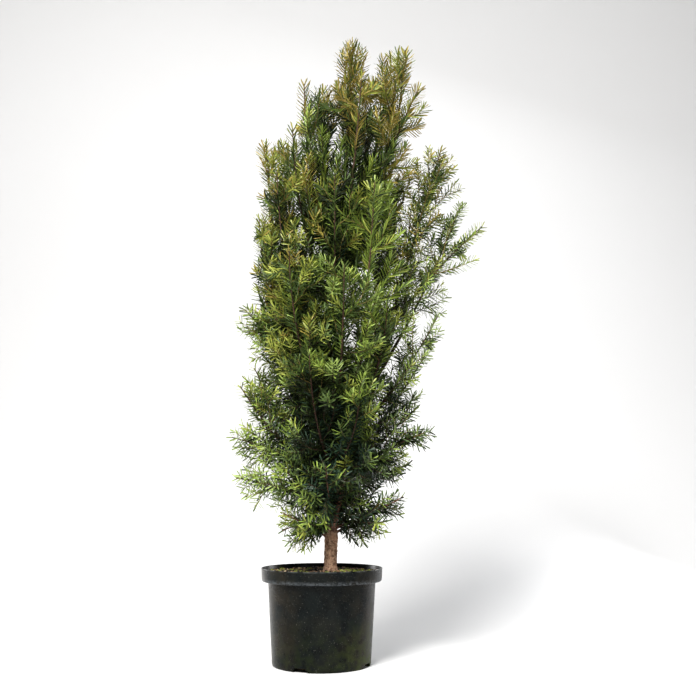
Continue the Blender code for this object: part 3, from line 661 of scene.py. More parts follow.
def is_inside_crown(point, limb, inset):
    """Whether a shoot's tip keeps inside the crown round its limb's tip."""
    middle = axis_point(point[2])[:2]
    outside = OUTSIDE_ARM_HIGH if limb["name"] == "arm_high" else OUTSIDE_TIP
    crown = np.linalg.norm(limb["path"][-1][:2] - middle) + outside - inset
    return np.linalg.norm(point[:2] - middle) < max(crown, LEADER_WIDTH)


def find_shoot(limb, parent, at, turn, besides, length, style, space, inset=0.0):
    """A side shoot with room round it, or none."""
    flat = style["ranked"] > FLAT_FROM
    for beside in besides:
        for other_turn in OTHER_TURNS:
            corners = side_corners(parent, at, turn + other_turn, beside, length, flat)
            if not is_inside_crown(corners[2], limb, inset):
                continue
            line = bend_line(*corners, max(4, int(length / SAMPLE)))
            outer = line[len(line) // 3:]
            if space.crowding(outer) > CROWDED:
                continue
            if min(off_bark(point) for point in outer) > TRUNK_ROOM:
                return corners, line
    return None


def new_shoot(limb, corners, order, growth, vigour):
    """A needled shoot: its curve, its order, its style and how near the limb's tip it stands."""
    length = arc_lengths(bend_line(*corners, 12))[-1]
    shoot = {"corners": corners, "length": length, "order": order, "limb": limb}
    shoot.update(growth=growth, vigour=vigour, first=0.0)
    return shoot


def style_of(limb):
    """How a limb's shoots grow."""
    if limb["name"] == "crest":
        return LEADING
    if limb["name"] == "arm_high":
        return LEAFY_ARM
    if limb["name"].startswith("arm"):
        return AIRY
    return GROWTH.get(LIMBS[limb["name"]][3], SPRAY)


def grow_limb(limb, number, space):
    """A limb's own needled stem, its side shoots, and their twigs."""
    rng = np.random.default_rng([SEED, number])
    growth = style_of(limb)
    is_crest = limb["name"] == "crest"
    foot = CREST_FOOT if is_crest else max(limb["leafy_from"], BARE_FOOT)
    stem = new_shoot(limb, limb["corners"], 1, growth, 1.0)
    stem["first"] = max(foot, limb["length"] - growth["own"]) / limb["length"]
    found = [stem]
    turn = rng.uniform(0, 2 * math.pi)
    at = foot if is_crest else BARE_FOOT
    if limb["name"] in CLEAR_ARMS:
        at = CLEAR_SHARE * limb["length"]
    while at < limb["length"] - BARE_END:
        turn += GOLDEN_ANGLE + rng.uniform(-TURN_SPREAD, TURN_SPREAD)
        inner = at < foot
        style = SPRAY if inner else growth
        low, high = INNER_LENGTHS if inner else growth["lengths"]
        longest = max(LEAST_SHOOT, min(limb["length"] - at - style["under_tip"], high))
        length = min(max(LEAST_SHOOT, rng.uniform(low, high)), longest)
        inset = rng.uniform(0, INSET) * min(1.0, length / FULL_INSET_LENGTH)
        besides = style["beside"]
        result = find_shoot(limb, limb["path"], at, turn, besides, length, style, space, inset)
        if result:
            corners, line = result
            space.take(line[1:], style["room"])
            vigour = max(0.0, (at - foot) / (limb["length"] - foot))
            side = new_shoot(limb, corners, 2, style, vigour)
            found.append(side)
            found += grow_twigs(limb, side, line, rng, space)
        at += (INNER_STEP if inner else growth["step"]) * rng.uniform(*STEP_SPREAD)
    if limb["name"] in FORK_LIMBS:
        found += grow_fork(limb, rng)
    return found


def grow_fork(limb, rng):
    """Short sprays that hang in front of the fork from a low limb's foot."""
    found = []
    for at in np.linspace(*FORK_SPAN, FORK_SPRAYS):
        root = point_at(limb["path"], at)
        forward = [rng.normal(0, FORK_SPREAD), FORK_FORWARD, 0]
        out = direction_at(limb["path"], at) * [1, 1, 0] + forward
        out /= np.linalg.norm(out)
        length = rng.uniform(*FORK_LENGTHS)
        drop = rng.uniform(*FORK_DROPS)
        bend = root + out * length * FORK_BEND + [0, 0, FORK_BEND_RISE]
        tip = root + out * length * FORK_REACH - [0, 0, drop * length]
        found.append(new_shoot(limb, (root, bend, tip), 3, SPRAY, 0.0))
    return found


def grow_twigs(limb, side, line, rng, space):
    """The twigs of a side shoot, left and right of it."""
    found = []
    growth = side["growth"]
    turn = rng.uniform(0, 2 * math.pi)
    at = TWIG_FOOT
    while at < side["length"] - BARE_END:
        turn += math.pi + rng.uniform(-TWIG_TURN_SPREAD, TWIG_TURN_SPREAD)
        length = min(side["length"] - at - TWIG_UNDER_TIP, rng.uniform(*growth["twigs"]))
        result = find_shoot(limb, line, at, turn, growth["twig_beside"], length, growth, space)
        if result:
            space.take(result[1][1:], growth["room"])
            found.append(new_shoot(limb, result[0], 3, growth, side["vigour"]))
        at += growth["twig_step"] * rng.uniform(*TWIG_STEP_SPREAD)
    return found


def on_curves(corners, t):
    """Points and unit directions on many curves, each at its own share along."""
    start, bend, tip = corners
    t = t[:, None]
    points = (1 - t) ** 2 * start + 2 * t * (1 - t) * bend + t**2 * tip
    ways = (1 - t) * (bend - start) + t * (tip - bend)
    return points, ways / np.linalg.norm(ways, axis=1, keepdims=True)


def unit(vectors):
    """The vectors, each brought to a length of one."""
    return vectors / np.linalg.norm(vectors, axis=1, keepdims=True)


def shoot_arrays(shoots):
    """The corners of many shoots as three arrays."""
    return [np.array([s["corners"][k] for s in shoots]) for k in range(3)]


def side_frames(ways):
    """Two directions across each way: a level one, and one that points up as far as it can."""
    level = unit(np.cross(ways, [0.02, 0.01, 1.0]))
    return level, np.cross(level, ways)


def lay_needles(shoots, rng):
    """Every needle: where it stands, its directions, its length, curl and width, and its shoot."""
    steps = np.array([s["growth"]["needle_step"] for s in shoots])
    first = np.array([s["first"] for s in shoots])
    lengths = np.array([s["length"] for s in shoots]) * (1 - first)
    counts = np.maximum(LEAST_NEEDLES, (lengths / steps).astype(int))
    own = np.repeat(np.arange(len(shoots)), counts)
    total = len(own)

    def each(key):
        """A value of its shoot's growth style, for each needle."""
        return np.array([s["growth"][key] for s in shoots])[own]

    number = np.arange(total) - np.repeat(np.cumsum(counts) - counts, counts)
    share = np.clip((number + rng.normal(0.5, PLACE_SPREAD, total)) / counts[own], 0, 1)
    corners = [corner[own] for corner in shoot_arrays(shoots)]
    root, way = on_curves(corners, first[own] + (1 - first[own]) * share)
    level, up = side_frames(way)
    turn = number * NEEDLE_TURN + rng.uniform(0, 2 * math.pi, len(shoots))[own]
    turn += rng.normal(0, NEEDLE_TURN_SPREAD, total) - each("ranked") * 0.5 * np.sin(2 * turn)
    aside = unit(np.cross(way, [0.0, 1.0, 0.0]))
    turn += np.arctan2((aside * up).sum(1), (aside * level).sum(1))
    turn += rng.normal(0, RANK_TILT, len(shoots))[own]
    out = np.cos(turn)[:, None] * level + np.sin(turn)[:, None] * up
    from_tip = (1 - share) * lengths[own]
    closing = np.clip(1 - from_tip / CLOSING_LENGTH, 0, 1)
    lean = np.radians(each("lean")) - CLOSING_LEAN * closing**CLOSING_POWER
    lean = lean + rng.normal(0, LEAN_SPREAD, total)
    reach = each("needle") * rng.uniform(*LENGTH_SPREAD, total)
    grown = np.clip(FOOT_SHARE + share * lengths[own] / FOOT_LENGTH, 0, 1)
    reach *= grown * (1 - CLOSING_SHARE * closing)
    ahead = np.cos(lean)[:, None] * way + np.sin(lean)[:, None] * out
    ahead = unit(ahead - each("hang")[:, None] * [0, 0, 1])
    face = unit(way - (ahead * way).sum(1)[:, None] * ahead)
    twist = rng.normal(0, TWIST_SPREAD, total)[:, None]
    across = np.cross(ahead, face)
    turned = np.cos(twist) * face + np.sin(twist) * across
    across = np.cos(twist) * across - np.sin(twist) * face
    return {
        "root": root, "ahead": ahead, "face": turned, "across": across, "reach": reach,
        "curl": each("curl") + rng.normal(0, CURL_SPREAD, total), "width": each("width"),
        "own": own, "from_tip": from_tip,
    }


def crown_depth(shoot):
    """How far out in the crown a shoot stands: 0 on the trunk's axis, 1 at the crown's outside."""
    _, bend, tip = shoot["corners"]
    middle = (bend + tip) / 2
    outside = np.interp(middle[2], *CROWN_RADII)
    beside = np.hypot(*(middle - axis_point(middle[2]))[:2]) / outside
    return max(beside, (tip[2] - CREST_FROM) / CREST_DEPTH)


def tones_of(limb):
    """A limb's tones: at its shoots' tips, further down, and on old wood, the last partly painted
    shade.
    """
    known = {start: tones for tones, starts in TONES_OF.items() for start in starts}
    return known[max(filter(limb["name"].startswith, known), key=len)]


def needle_tones(shoots, needles, rng):
    """The tone of each needle, dealt out by spray: young at the tips, dark on inner shoots as
    partly painted shade.
    """
    names = list(TONES)
    tips, bases, spans = [], [], []
    for shoot in shoots:
        young, middle, old = tones_of(shoot["limb"])
        depth = crown_depth(shoot) + rng.normal(0, DEPTH_SPREAD)
        # Painted shade, in part: shoots further in take the darker tones, the innermost only the
        # darkest.
        first, second = (young, middle) if depth > OUTER else (middle, old)
        if rng.uniform() < ACCENT_SPRAYS:
            first = ACCENTS[first][0]
        if depth < SHADED_INNER:
            first, second = old, old
        tips.append(names.index(first))
        bases.append(names.index(second))
        area = shoot["limb"]["name"].split("_")[0]
        spans.append(rng.uniform(*YOUNG_SPANS.get(area, YOUNG_SPAN)))
    own = needles["own"]
    young = needles["from_tip"] < np.array(spans)[own]
    tones = np.where(young, np.array(tips)[own], np.array(bases)[own])
    others = np.array([[names.index(other) for other in ACCENTS[name]] for name in names])
    others = others[tones, rng.integers(0, 2, len(tones))]
    return np.where(rng.uniform(size=len(tones)) < ACCENT_SHARE, others, tones)


def new_object(name, data):
    """An object in the scene."""
    obj = bpy.data.objects.new(name, data)
    bpy.context.scene.collection.objects.link(obj)
    return obj


def new_mesh(name, points, faces, material, smooth=False):
    """A mesh object from an array of points and arrays of faces, one for each corner count."""
    mesh = bpy.data.meshes.new(name)
    loops = np.concatenate([f.ravel() for f in faces]).astype(np.int32)
    sizes = np.concatenate([np.full(len(f), f.shape[1]) for f in faces])
    starts = (np.cumsum(sizes) - sizes).astype(np.int32)
    mesh.vertices.add(len(points))
    mesh.vertices.foreach_set("co", points.astype(np.float32).ravel())
    mesh.loops.add(len(loops))
    mesh.loops.foreach_set("vertex_index", loops)
    mesh.polygons.add(len(sizes))
    mesh.polygons.foreach_set("loop_start", starts)
    mesh.update(calc_edges=True)
    mesh.validate()
    mesh.materials.append(material)
    if smooth:
        mesh.shade_smooth()
    return new_object(name, mesh)


def ring_quads(rings, sides, first=0, turned=False):
    """The faces between rings of points that follow one another, facing either way."""
    k = np.arange(sides)
    after = (k + 1) % sides
    base = first + (np.arange(rings - 1) * sides)[:, None]
    quads = np.stack([base + k, base + after, base + sides + after, base + sides + k], -1)
    return quads.reshape(-1, 4)[:, [0, 3, 2, 1] if turned else [0, 1, 2, 3]]


def lathe_faces(rings, sides, turned=False):
    """The faces over one point, rings of points and a last point, facing either way."""
    k = np.arange(sides)
    after = (k + 1) % sides
    last = 1 + (rings - 1) * sides
    fans = [np.stack([0 * k, 1 + after, 1 + k], -1)]
    fans += [np.stack([0 * k + last + sides, last + k, last + after], -1)]
    if turned:
        fans = [fan[:, [0, 2, 1]] for fan in fans]
    return [ring_quads(rings, sides, 1, turned), *fans]


def on_circle(radius, turn):
    """The point on a circle at a turn."""
    return radius * math.cos(turn), radius * math.sin(turn)


def turns_round(steps):
    """Even turns once round."""
    return [k * 2 * math.pi / steps for k in range(steps)]


def build_needles(name, needles, chosen, material):
    """One piece of needles: each a narrow pointed blade, ridged along its middle."""
    root, ahead = needles["root"][chosen], needles["ahead"][chosen]
    face, across = needles["face"][chosen], needles["across"][chosen]
    reach, curl = needles["reach"][chosen, None], needles["curl"][chosen, None]
    width = needles["width"][chosen, None]
    points = []
    for along, side, rise in NEEDLE_POINTS:
        middle = root + ahead * reach * along + face * reach * curl * along**2
        points.append(middle + (across * side + face * rise) * width)
    points = np.stack(points, 1).reshape(-1, 3)
    base = np.arange(len(chosen))[:, None, None] * len(NEEDLE_POINTS)
    quads = (np.array(NEEDLE_QUADS) + base).reshape(-1, 4)
    triangles = (np.array(NEEDLE_TRIANGLES) + base).reshape(-1, 3)
    return new_mesh(name, points, [quads, triangles], material)


def build_tubes(name, corners, radii, sides, rings, material):
    """Many tapering twigs in one mesh, each round its own curve and closed at both ends."""
    count = len(radii)
    share = np.linspace(0, 1, rings)
    own = np.repeat(np.arange(count), rings)
    middle, way = on_curves([c[own] for c in corners], np.tile(share, count))
    level, up = side_frames(way)
    thick = (radii[:, :1] + (radii[:, 1:] - radii[:, :1]) * share).ravel()
    turns = np.array(turns_round(sides))
    ring = np.cos(turns)[:, None] * level[:, None] + np.sin(turns)[:, None] * up[:, None]
    points = (middle[:, None] + ring * thick[:, None, None]).reshape(-1, 3)
    firsts = np.arange(count)[:, None] * rings * sides
    quads = (ring_quads(rings, sides, turned=True) + firsts[:, None]).reshape(-1, 4)
    k = np.arange(sides)
    ends = [firsts + k, firsts + (rings - 1) * sides + k[::-1]]
    return new_mesh(name, points, [quads, *ends], material, True)


def build_twigs(shoots):
    """The shoots' own stems: young green-brown ones, and older brown ones further in."""
    twigs = [s for s in shoots if s["order"] > 1]
    groups = {
        "young": [s for s in twigs if s["vigour"] > YOUNG_FROM],
        "old": [s for s in twigs if s["vigour"] <= YOUNG_FROM],
    }
    pieces = []
    for age, group in groups.items():
        material = twig_material(f"{age} twigs", TWIG_COLORS[age])
        thick = np.array([TWIG_RADIUS + TWIG_RADIUS_SHARE * s["length"] for s in group])
        radii = np.stack([thick, np.full(len(group), TWIG_TIP_RADIUS)], 1)
        pieces.append(build_tubes(f"twigs_{age}", shoot_arrays(group), radii, 4, 5, material))
    return pieces


def bark_height(x, y, z, fine):
    """How far the bark stands out at a place: broad flakes with cracks round the stem."""
    wave = noise.noise(Vector((x, y, z)) * fine * 0.5) * 0.9
    place = Vector((x * fine * 0.55, y * fine * 0.55, z * fine * 1.0 + wave))
    near, cells = noise.voronoi(place)
    crack = min(1.0, (near[1] - near[0]) * 3.0)
    flake = noise.cell(cells[0] * 7.3)
    grain = noise.noise(Vector((x, y, z * 0.3)) * fine * 3.0)
    return 0.7 * crack + 0.6 * flake * crack + 0.25 * grain


def build_trunk(material):
    """The trunk with its flaking bark, in rings from the soil to where the crest begins."""
    heights = np.concatenate([
        np.arange(SOIL_TOP - 0.004, FORK_Z + FORK_LENGTH, TRUNK_RING),
        np.arange(FORK_Z + FORK_LENGTH, TRUNK_TOP + 0.01, CROWN_RING),
    ])
    wave_scale, wave = TRUNK_WAVES
    round_scale, up_scale, lump = TRUNK_LUMPS
    points = []
    for z in heights:
        middle = axis_point(z)
        radius = trunk_radius(max(z, SOIL_TOP))
        waves = noise.noise(Vector((0.0, 3.0, z * wave_scale))) * wave
        for turn in turns_round(TRUNK_STEPS):
            x, y = on_circle(1.0, turn)
            spot = Vector((x * round_scale, y * round_scale, z * up_scale))
            wide = noise.noise(spot) * lump + waves
            relief = bark_height(x * radius, y * radius, z, BARK_SCALE) * BARK_RELIEF
            far = radius * (1 + wide) + relief - BARK_INSET
            points.append((middle[0] + x * far, middle[1] + y * far, z))
    k = np.arange(TRUNK_STEPS)
    ends = [k[::-1][None], ((len(heights) - 1) * TRUNK_STEPS + k)[None]]
    faces = [ring_quads(len(heights), TRUNK_STEPS), *ends]
    return new_mesh("trunk_bark", np.array(points), faces, material, True)


def build_limbs(limbs, material):
    """Every limb's wood from inside the trunk to its tip, with a collar where it leaves."""
    points, quads, ends = [], [], []
    k = np.arange(LIMB_STEPS)
    lump_scale, lump = LIMB_LUMPS
    grain_scale, grain = LIMB_GRAIN
    for number, limb in enumerate(limbs):
        count = max(LEAST_RINGS, int(limb["length"] / LIMB_RING))
        steps = np.linspace(0, limb["length"] + LIMB_END, count)
        first = len(points)
        corners = [np.tile(c, (len(steps), 1)) for c in limb["corners"]]
        share = np.interp(steps, arc_lengths(limb["path"]), np.linspace(0, 1, LIMB_POINTS))
        middle, way = on_curves(corners, share)
        level, up = side_frames(way)
        for step, at, a, b in zip(steps, middle, level, up):
            radius = limb_radius(limb, min(step, limb["length"]))
            collar = 1 + COLLAR * math.exp(-max(0.0, off_bark(at)) / COLLAR_LENGTH)
            for turn in turns_round(LIMB_STEPS):
                out = math.cos(turn) * a + math.sin(turn) * b
                spot = at + out * radius
                rough = noise.noise(Vector(spot * lump_scale)) * lump
                rough += noise.noise(Vector(spot * grain_scale + number)) * grain
                points.append(at + out * radius * (collar + rough))
        quads.append(ring_quads(count, LIMB_STEPS, first, turned=True))
        ends += [first + k, first + (count - 1) * LIMB_STEPS + k[::-1]]
    faces = [np.concatenate(quads), np.array(ends)]
    return new_mesh("limb_bark", np.array(points), faces, material, True)


def body_radius(z):
    """The pot wall's outer radius below the rim band."""
    return BODY_FOOT_RADIUS + (BODY_TOP_RADIUS - BODY_FOOT_RADIUS) * z / (POT_HEIGHT - RIM_BAND)


def pot_profile():
    """The pot's section from the middle of its floor, up inside, over the rim and down outside."""
    ledge = POT_HEIGHT - RIM_BAND
    corner = body_radius(0.006) - POT_WALL
    inside = RIM_FOOT_RADIUS - POT_WALL
    return [
        (0.0, POT_FLOOR),
        (corner - 0.003, POT_FLOOR),
        (corner, 0.006),
        (body_radius(ledge) - POT_WALL, ledge),
        (inside - 0.004, ledge + 0.003),
        (inside, ledge + 0.006),
        (RIM_RADIUS - POT_WALL, POT_HEIGHT - 0.0012),
        (RIM_RADIUS - POT_WALL * 0.8, POT_HEIGHT - 0.0003),
        (RIM_RADIUS - POT_WALL / 2, POT_HEIGHT),
        (RIM_RADIUS - 0.0003, POT_HEIGHT - 0.0003),
        (RIM_RADIUS, POT_HEIGHT - 0.0012),
        (RIM_RADIUS - 0.0004, POT_HEIGHT - 0.0040),
        (RIM_FOOT_RADIUS + 0.0002, ledge + 0.0045),
        (RIM_FOOT_RADIUS, ledge + 0.0025),
        (RIM_FOOT_RADIUS - 0.0012, ledge + 0.0008),
        (RIM_FOOT_RADIUS - 0.0030, ledge),
        (BODY_TOP_RADIUS + 0.0012, ledge - 0.0002),
        (BODY_TOP_RADIUS, ledge - 0.0014),
        *((body_radius(z), z) for z in np.linspace(ledge - 0.006, 0.012, 22)),
        (body_radius(0.005), 0.005),
        (body_radius(0.0) - 0.0007, 0.0012),
        (BODY_FOOT_RADIUS - 0.0022, 0.0),
        (0.0, 0.0),
    ]


def build_pot(material):
    """The pot: a turned shell, not quite round, with drain slots cut in its bottom corner."""
    foot, *rings, head = pot_profile()[::-1]
    points = [(0.0, 0.0, foot[1])]
    for radius, z in rings:
        for turn in turns_round(POT_STEPS):
            warp = 1 + POT_WARP * math.sin(2 * turn + POT_WARP_TURN) * z / POT_HEIGHT
            points.append((*on_circle(radius * warp, turn), z))
    points.append((0.0, 0.0, head[1]))
    faces = lathe_faces(len(rings), POT_STEPS)
    pot = new_mesh("pot_shell", np.array(points), faces, material, True)
    cut_slots(pot)
    pot.data.set_sharp_from_angle(angle=SHARP_ANGLE)
    return pot


def cut_slots(pot):
    """Cuts the drain slots with boxes whose upper corners are rounded."""
    for number in range(SLOT_COUNT):
        turn = SLOT_TURN + number * 2 * math.pi / SLOT_COUNT
        bm = bmesh.new()
        bmesh.ops.create_cube(bm, size=1.0)
        bmesh.ops.scale(bm, vec=(SLOT_WIDTH, SLOT_DEPTH, 2 * SLOT_HEIGHT), verts=bm.verts)
        along = [e for e in bm.edges if abs(e.verts[0].co.y - e.verts[1].co.y) > 0.01]
        bmesh.ops.bevel(bm, geom=along, offset=SLOT_CORNER, segments=4, affect="EDGES")
        x, y = BODY_FOOT_RADIUS * math.sin(turn), -BODY_FOOT_RADIUS * math.cos(turn)
        matrix = Matrix.Translation(Vector((x, y, 0.0))) @ Matrix.Rotation(turn, 4, "Z")
        bmesh.ops.transform(bm, matrix=matrix, verts=bm.verts)
        mesh = bpy.data.meshes.new("slot")
        bm.to_mesh(mesh)
        bm.free()
        cutter = new_object("slot", mesh)
        cut = pot.modifiers.new("slot", "BOOLEAN")
        cut.operation = "DIFFERENCE"
        cut.object = cutter
        graph = bpy.context.evaluated_depsgraph_get()
        result = bpy.data.meshes.new_from_object(pot.evaluated_get(graph))
        pot.modifiers.clear()
        pot.data = result
        bpy.data.objects.remove(cutter)


def soil_height(x, y):
    """The potting bark's surface: low humps, a little higher round the trunk."""
    humps = sum(noise.noise(Vector((x, y, 0.0)) * scale) * high for scale, high in SOIL_HUMPS)
    off = math.hypot(x - TRUNK_FOOT_X, y)
    return SOIL_TOP - SOIL_SINK + humps + MOUND_HEIGHT * math.exp(-(off / MOUND_RADIUS) ** 2)


def build_soil(material):
    """The potting bark: a lumpy top, and plain sides and floor inside the pot."""
    rings, turns = 46, turns_round(144)
    outer = RIM_FOOT_RADIUS - POT_WALL - SOIL_ROOM
    ledge = POT_HEIGHT - RIM_BAND
    points = [(0.0, 0.0, soil_height(0.0, 0.0))]
    for ring in range(1, rings + 1):
        radius = outer * ring / rings
        for turn in turns:
            x, y = on_circle(radius, turn)
            points.append((x, y, soil_height(x, y)))
    sides = [
        (outer, ledge + 0.008),
        (body_radius(ledge) - POT_WALL - SOIL_ROOM, ledge + 0.001),
        (body_radius(0.018) - POT_WALL - SOIL_ROOM, 0.018),
        (body_radius(0.0) - POT_WALL - SLOT_DEPTH / 2, POT_FLOOR + GAP),
    ]
    points += [(*on_circle(r, turn), z) for r, z in sides for turn in turns]
    points.append((0.0, 0.0, POT_FLOOR + GAP))
    faces = lathe_faces(rings + len(sides), len(turns), turned=True)
    return new_mesh("potting_bark", np.array(points), faces, material, True)


def scatter(rng, count):
    """Places on the potting bark, clear of the trunk."""
    found = []
    while len(found) < count:
        radius, turn = SOIL_EDGE * math.sqrt(rng.uniform()), rng.uniform(0, 2 * math.pi)
        x, y = on_circle(radius, turn)
        if math.hypot(x - TRUNK_FOOT_X, y) > CHIPS_OFF_TRUNK:
            found.append((x, y, soil_height(x, y)))
    return found


def build_chips(name, count, sizes, flatness, rng, material):
    """Many small broken chips in one mesh, each a lumpy flattened stone shape."""
    bm = bmesh.new()
    bmesh.ops.create_icosphere(bm, subdivisions=1, radius=1.0)
    shape = np.array([v.co for v in bm.verts])
    faces = np.array([[v.index for v in f.verts] for f in bm.faces])
    bm.free()
    points, triangles = [], []
    for number, (x, y, z) in enumerate(scatter(rng, count)):
        size = rng.uniform(*sizes)
        lumpy = shape * rng.uniform(*CHIP_LUMPS, (len(shape), 1))
        lumpy = lumpy * [size * rng.uniform(*CHIP_STRETCH), size, size * flatness]
        turn = Matrix.Rotation(rng.uniform(0, 2 * math.pi), 3, "Z")
        tilt = Matrix.Rotation(rng.normal(0, CHIP_TILT), 3, "X")
        tilt = tilt @ Matrix.Rotation(rng.normal(0, CHIP_TILT), 3, "Y")
        triangles.append(faces + number * len(shape))
        points.append(lumpy @ np.array(turn @ tilt).T + [x, y, z + size * flatness * CHIP_RISE])
    return new_mesh(name, np.concatenate(points), [np.concatenate(triangles)], material)


def build_moss(rng, material):
    """Moss: cushions of many tiny upright leaves."""
    points = []
    for _ in range(MOSS_CUSHIONS):
        turn, radius = rng.uniform(0, 2 * math.pi), rng.uniform(*MOSS_RING)
        cx, cy = on_circle(radius, turn)
        wide = rng.uniform(*MOSS_WIDTHS)
        for _ in range(int(MOSS_LEAVES * wide)):
            x, y = cx + rng.normal(0, wide / 2), cy + rng.normal(0, wide / 2)
            if math.hypot(x, y) > SOIL_EDGE or math.hypot(x - TRUNK_FOOT_X, y) < MOSS_OFF_TRUNK:
                continue
            off = math.hypot(x - cx, y - cy) / wide
            z = soil_height(x, y) + MOSS_RISE * max(0.0, 1 - off * off)
            a, b = on_circle(MOSS_LEAF, rng.uniform(0, 2 * math.pi))
            lean = rng.normal(0, MOSS_LEAN, 2)
            points += [(x - a, y - b, z - MOSS_ROOT), (x + a, y + b, z - MOSS_ROOT)]
            points += [(x + lean[0], y + lean[1], z + rng.uniform(*MOSS_HEIGHTS))]
    triangles = np.arange(len(points)).reshape(-1, 3)
    return new_mesh("moss", np.array(points), [triangles], material)


class Nodes:
    """A material's nodes, made and joined in few words."""

    def __init__(self, name, color, roughness, gloss=0.5):
        self.material = bpy.data.materials.new(name)
        self.material.use_nodes = True
        self.tree = self.material.node_tree
        self.shader = self.tree.nodes["Principled BSDF"]
        self.shader.inputs["Base Color"].default_value = (*color, 1.0)
        self.shader.inputs["Roughness"].default_value = roughness
        self.shader.inputs["Specular IOR Level"].default_value = gloss
        self.place = self.add("ShaderNodeTexCoord").outputs["Object"]

    def add(self, kind, **values):
        """A new node, with its properties set."""
        node = self.tree.nodes.new(kind)
        for key, value in values.items():
            setattr(node, key, value)
        return node

    def link(self, source, socket):
        """Joins an output to an input."""
        self.tree.links.new(source, socket)

    def axes(self):
        """The place's x, y and z."""
        node = self.add("ShaderNodeSeparateXYZ")
        self.link(self.place, node.inputs[0])
        return node.outputs

    def stretched(self, scale):
        """The place, scaled apart along each axis."""
        mapping = self.add("ShaderNodeMapping")
        mapping.inputs["Scale"].default_value = scale
        self.link(self.place, mapping.inputs["Vector"])
        return mapping.outputs["Vector"]

    def noise(self, scale, detail=4.0, roughness=0.55, place=None):
        """A noise pattern's strength."""
        node = self.add("ShaderNodeTexNoise")
        node.inputs["Scale"].default_value = scale
        node.inputs["Detail"].default_value = detail
        node.inputs["Roughness"].default_value = roughness
        self.link(place or self.place, node.inputs["Vector"])
        return node.outputs["Fac"]

    def ramp(self, value, low, high, first=0.0, last=1.0):
        """A value brought from one range to another, and held at its ends."""
        node = self.add("ShaderNodeMapRange", clamp=True)
        names = ("From Min", "From Max", "To Min", "To Max")
        for key, number in zip(names, (low, high, first, last)):
            node.inputs[key].default_value = number
        self.link(value, node.inputs["Value"])
        return node.outputs["Result"]

    def math(self, operation, a, b):
        """Two values joined by a sum, a product or the like."""
        node = self.add("ShaderNodeMath", operation=operation)
        self.feed(node.inputs, (a, b))
        return node.outputs[0]

    def times(self, a, b):
        """The product of two values."""
        return self.math("MULTIPLY", a, b)

    def mix(self, share, a, b):
        """Two colours mixed by a share."""
        node = self.add("ShaderNodeMix", data_type="RGBA")
        self.link(share, node.inputs[0])
        self.feed((node.inputs[6], node.inputs[7]), (a, b))
        return node.outputs[2]

    def feed(self, sockets, values):
        """Gives each socket its number, its colour or its output to read."""
        for socket, value in zip(sockets, values):
            if isinstance(value, tuple):
                socket.default_value = (*value, 1.0)
            elif isinstance(value, float):
                socket.default_value = value
            else:
                self.link(value, socket)

    def color(self, value):
        """Sets the surface's colour."""
        self.link(value, self.shader.inputs["Base Color"])

    def rough(self, value):
        """Sets how rough the surface is."""
        self.link(value, self.shader.inputs["Roughness"])

    def bump(self, height, strength, distance):
        """Relief from a height pattern."""
        node = self.add("ShaderNodeBump")
        node.inputs["Strength"].default_value = strength
        node.inputs["Distance"].default_value = distance
        self.link(height, node.inputs["Height"])
        self.link(node.outputs["Normal"], self.shader.inputs["Normal"])


def scaled(color, factor):
    """A colour made lighter or darker."""
    return tuple(min(1.0, c * factor) for c in color)


def needle_material(name, color):
    """A tone of needles, with slight changes from needle to needle."""
    nodes = Nodes(name, color, 0.42, 0.35)
    shade = nodes.ramp(nodes.noise(70.0, 2.0), 0.3, 0.7)
    nodes.color(nodes.mix(shade, scaled(color, 0.78), scaled(color, 1.2)))
    nodes.rough(nodes.ramp(nodes.noise(400.0, 2.0), 0.3, 0.7, 0.34, 0.52))
    return nodes.material


def twig_material(name, color):
    """A shoot's thin skin, mottled along its length."""
    nodes = Nodes(name, color, 0.6)
    shade = nodes.ramp(nodes.noise(160.0, 3.0), 0.3, 0.7)
    nodes.color(nodes.mix(shade, scaled(color, 0.7), scaled(color, 1.25)))
    nodes.bump(nodes.noise(900.0, 2.0), 0.3, 0.0004)
    return nodes.material


def bark_material(name, light, dark, tint):
    """Thin flaking bark: pale flakes, darker cracks, patches of another tint, and painted shade in
    the crown.
    """
    nodes = Nodes(name, light, 0.85)
    flakes = nodes.noise(210.0, 6.0, 0.65, nodes.stretched((0.8, 0.8, 0.5)))
    cracks = nodes.noise(300.0, 4.0, 0.6, nodes.stretched((0.4, 0.4, 1.6)))
    patches = nodes.ramp(nodes.noise(45.0, 3.0), 0.45, 0.65, 0.0, 0.6)
    color = nodes.mix(nodes.ramp(flakes, 0.38, 0.62), dark, light)
    color = nodes.mix(patches, color, tint)
    color = nodes.mix(nodes.ramp(cracks, 0.36, 0.46, 0.80, 0.0), color, scaled(dark, 0.40))
    # Painted shade: the wood darkens from just above the fork upwards, where the crown shades it.
    inside = nodes.ramp(nodes.axes()[2], 0.32, 0.48, 0.0, 0.85)
    nodes.color(nodes.mix(inside, color, scaled(dark, 0.40)))
    nodes.rough(nodes.ramp(flakes, 0.3, 0.7, 0.95, 0.75))
    nodes.bump(cracks, 0.7, 0.0008)
    return nodes.material


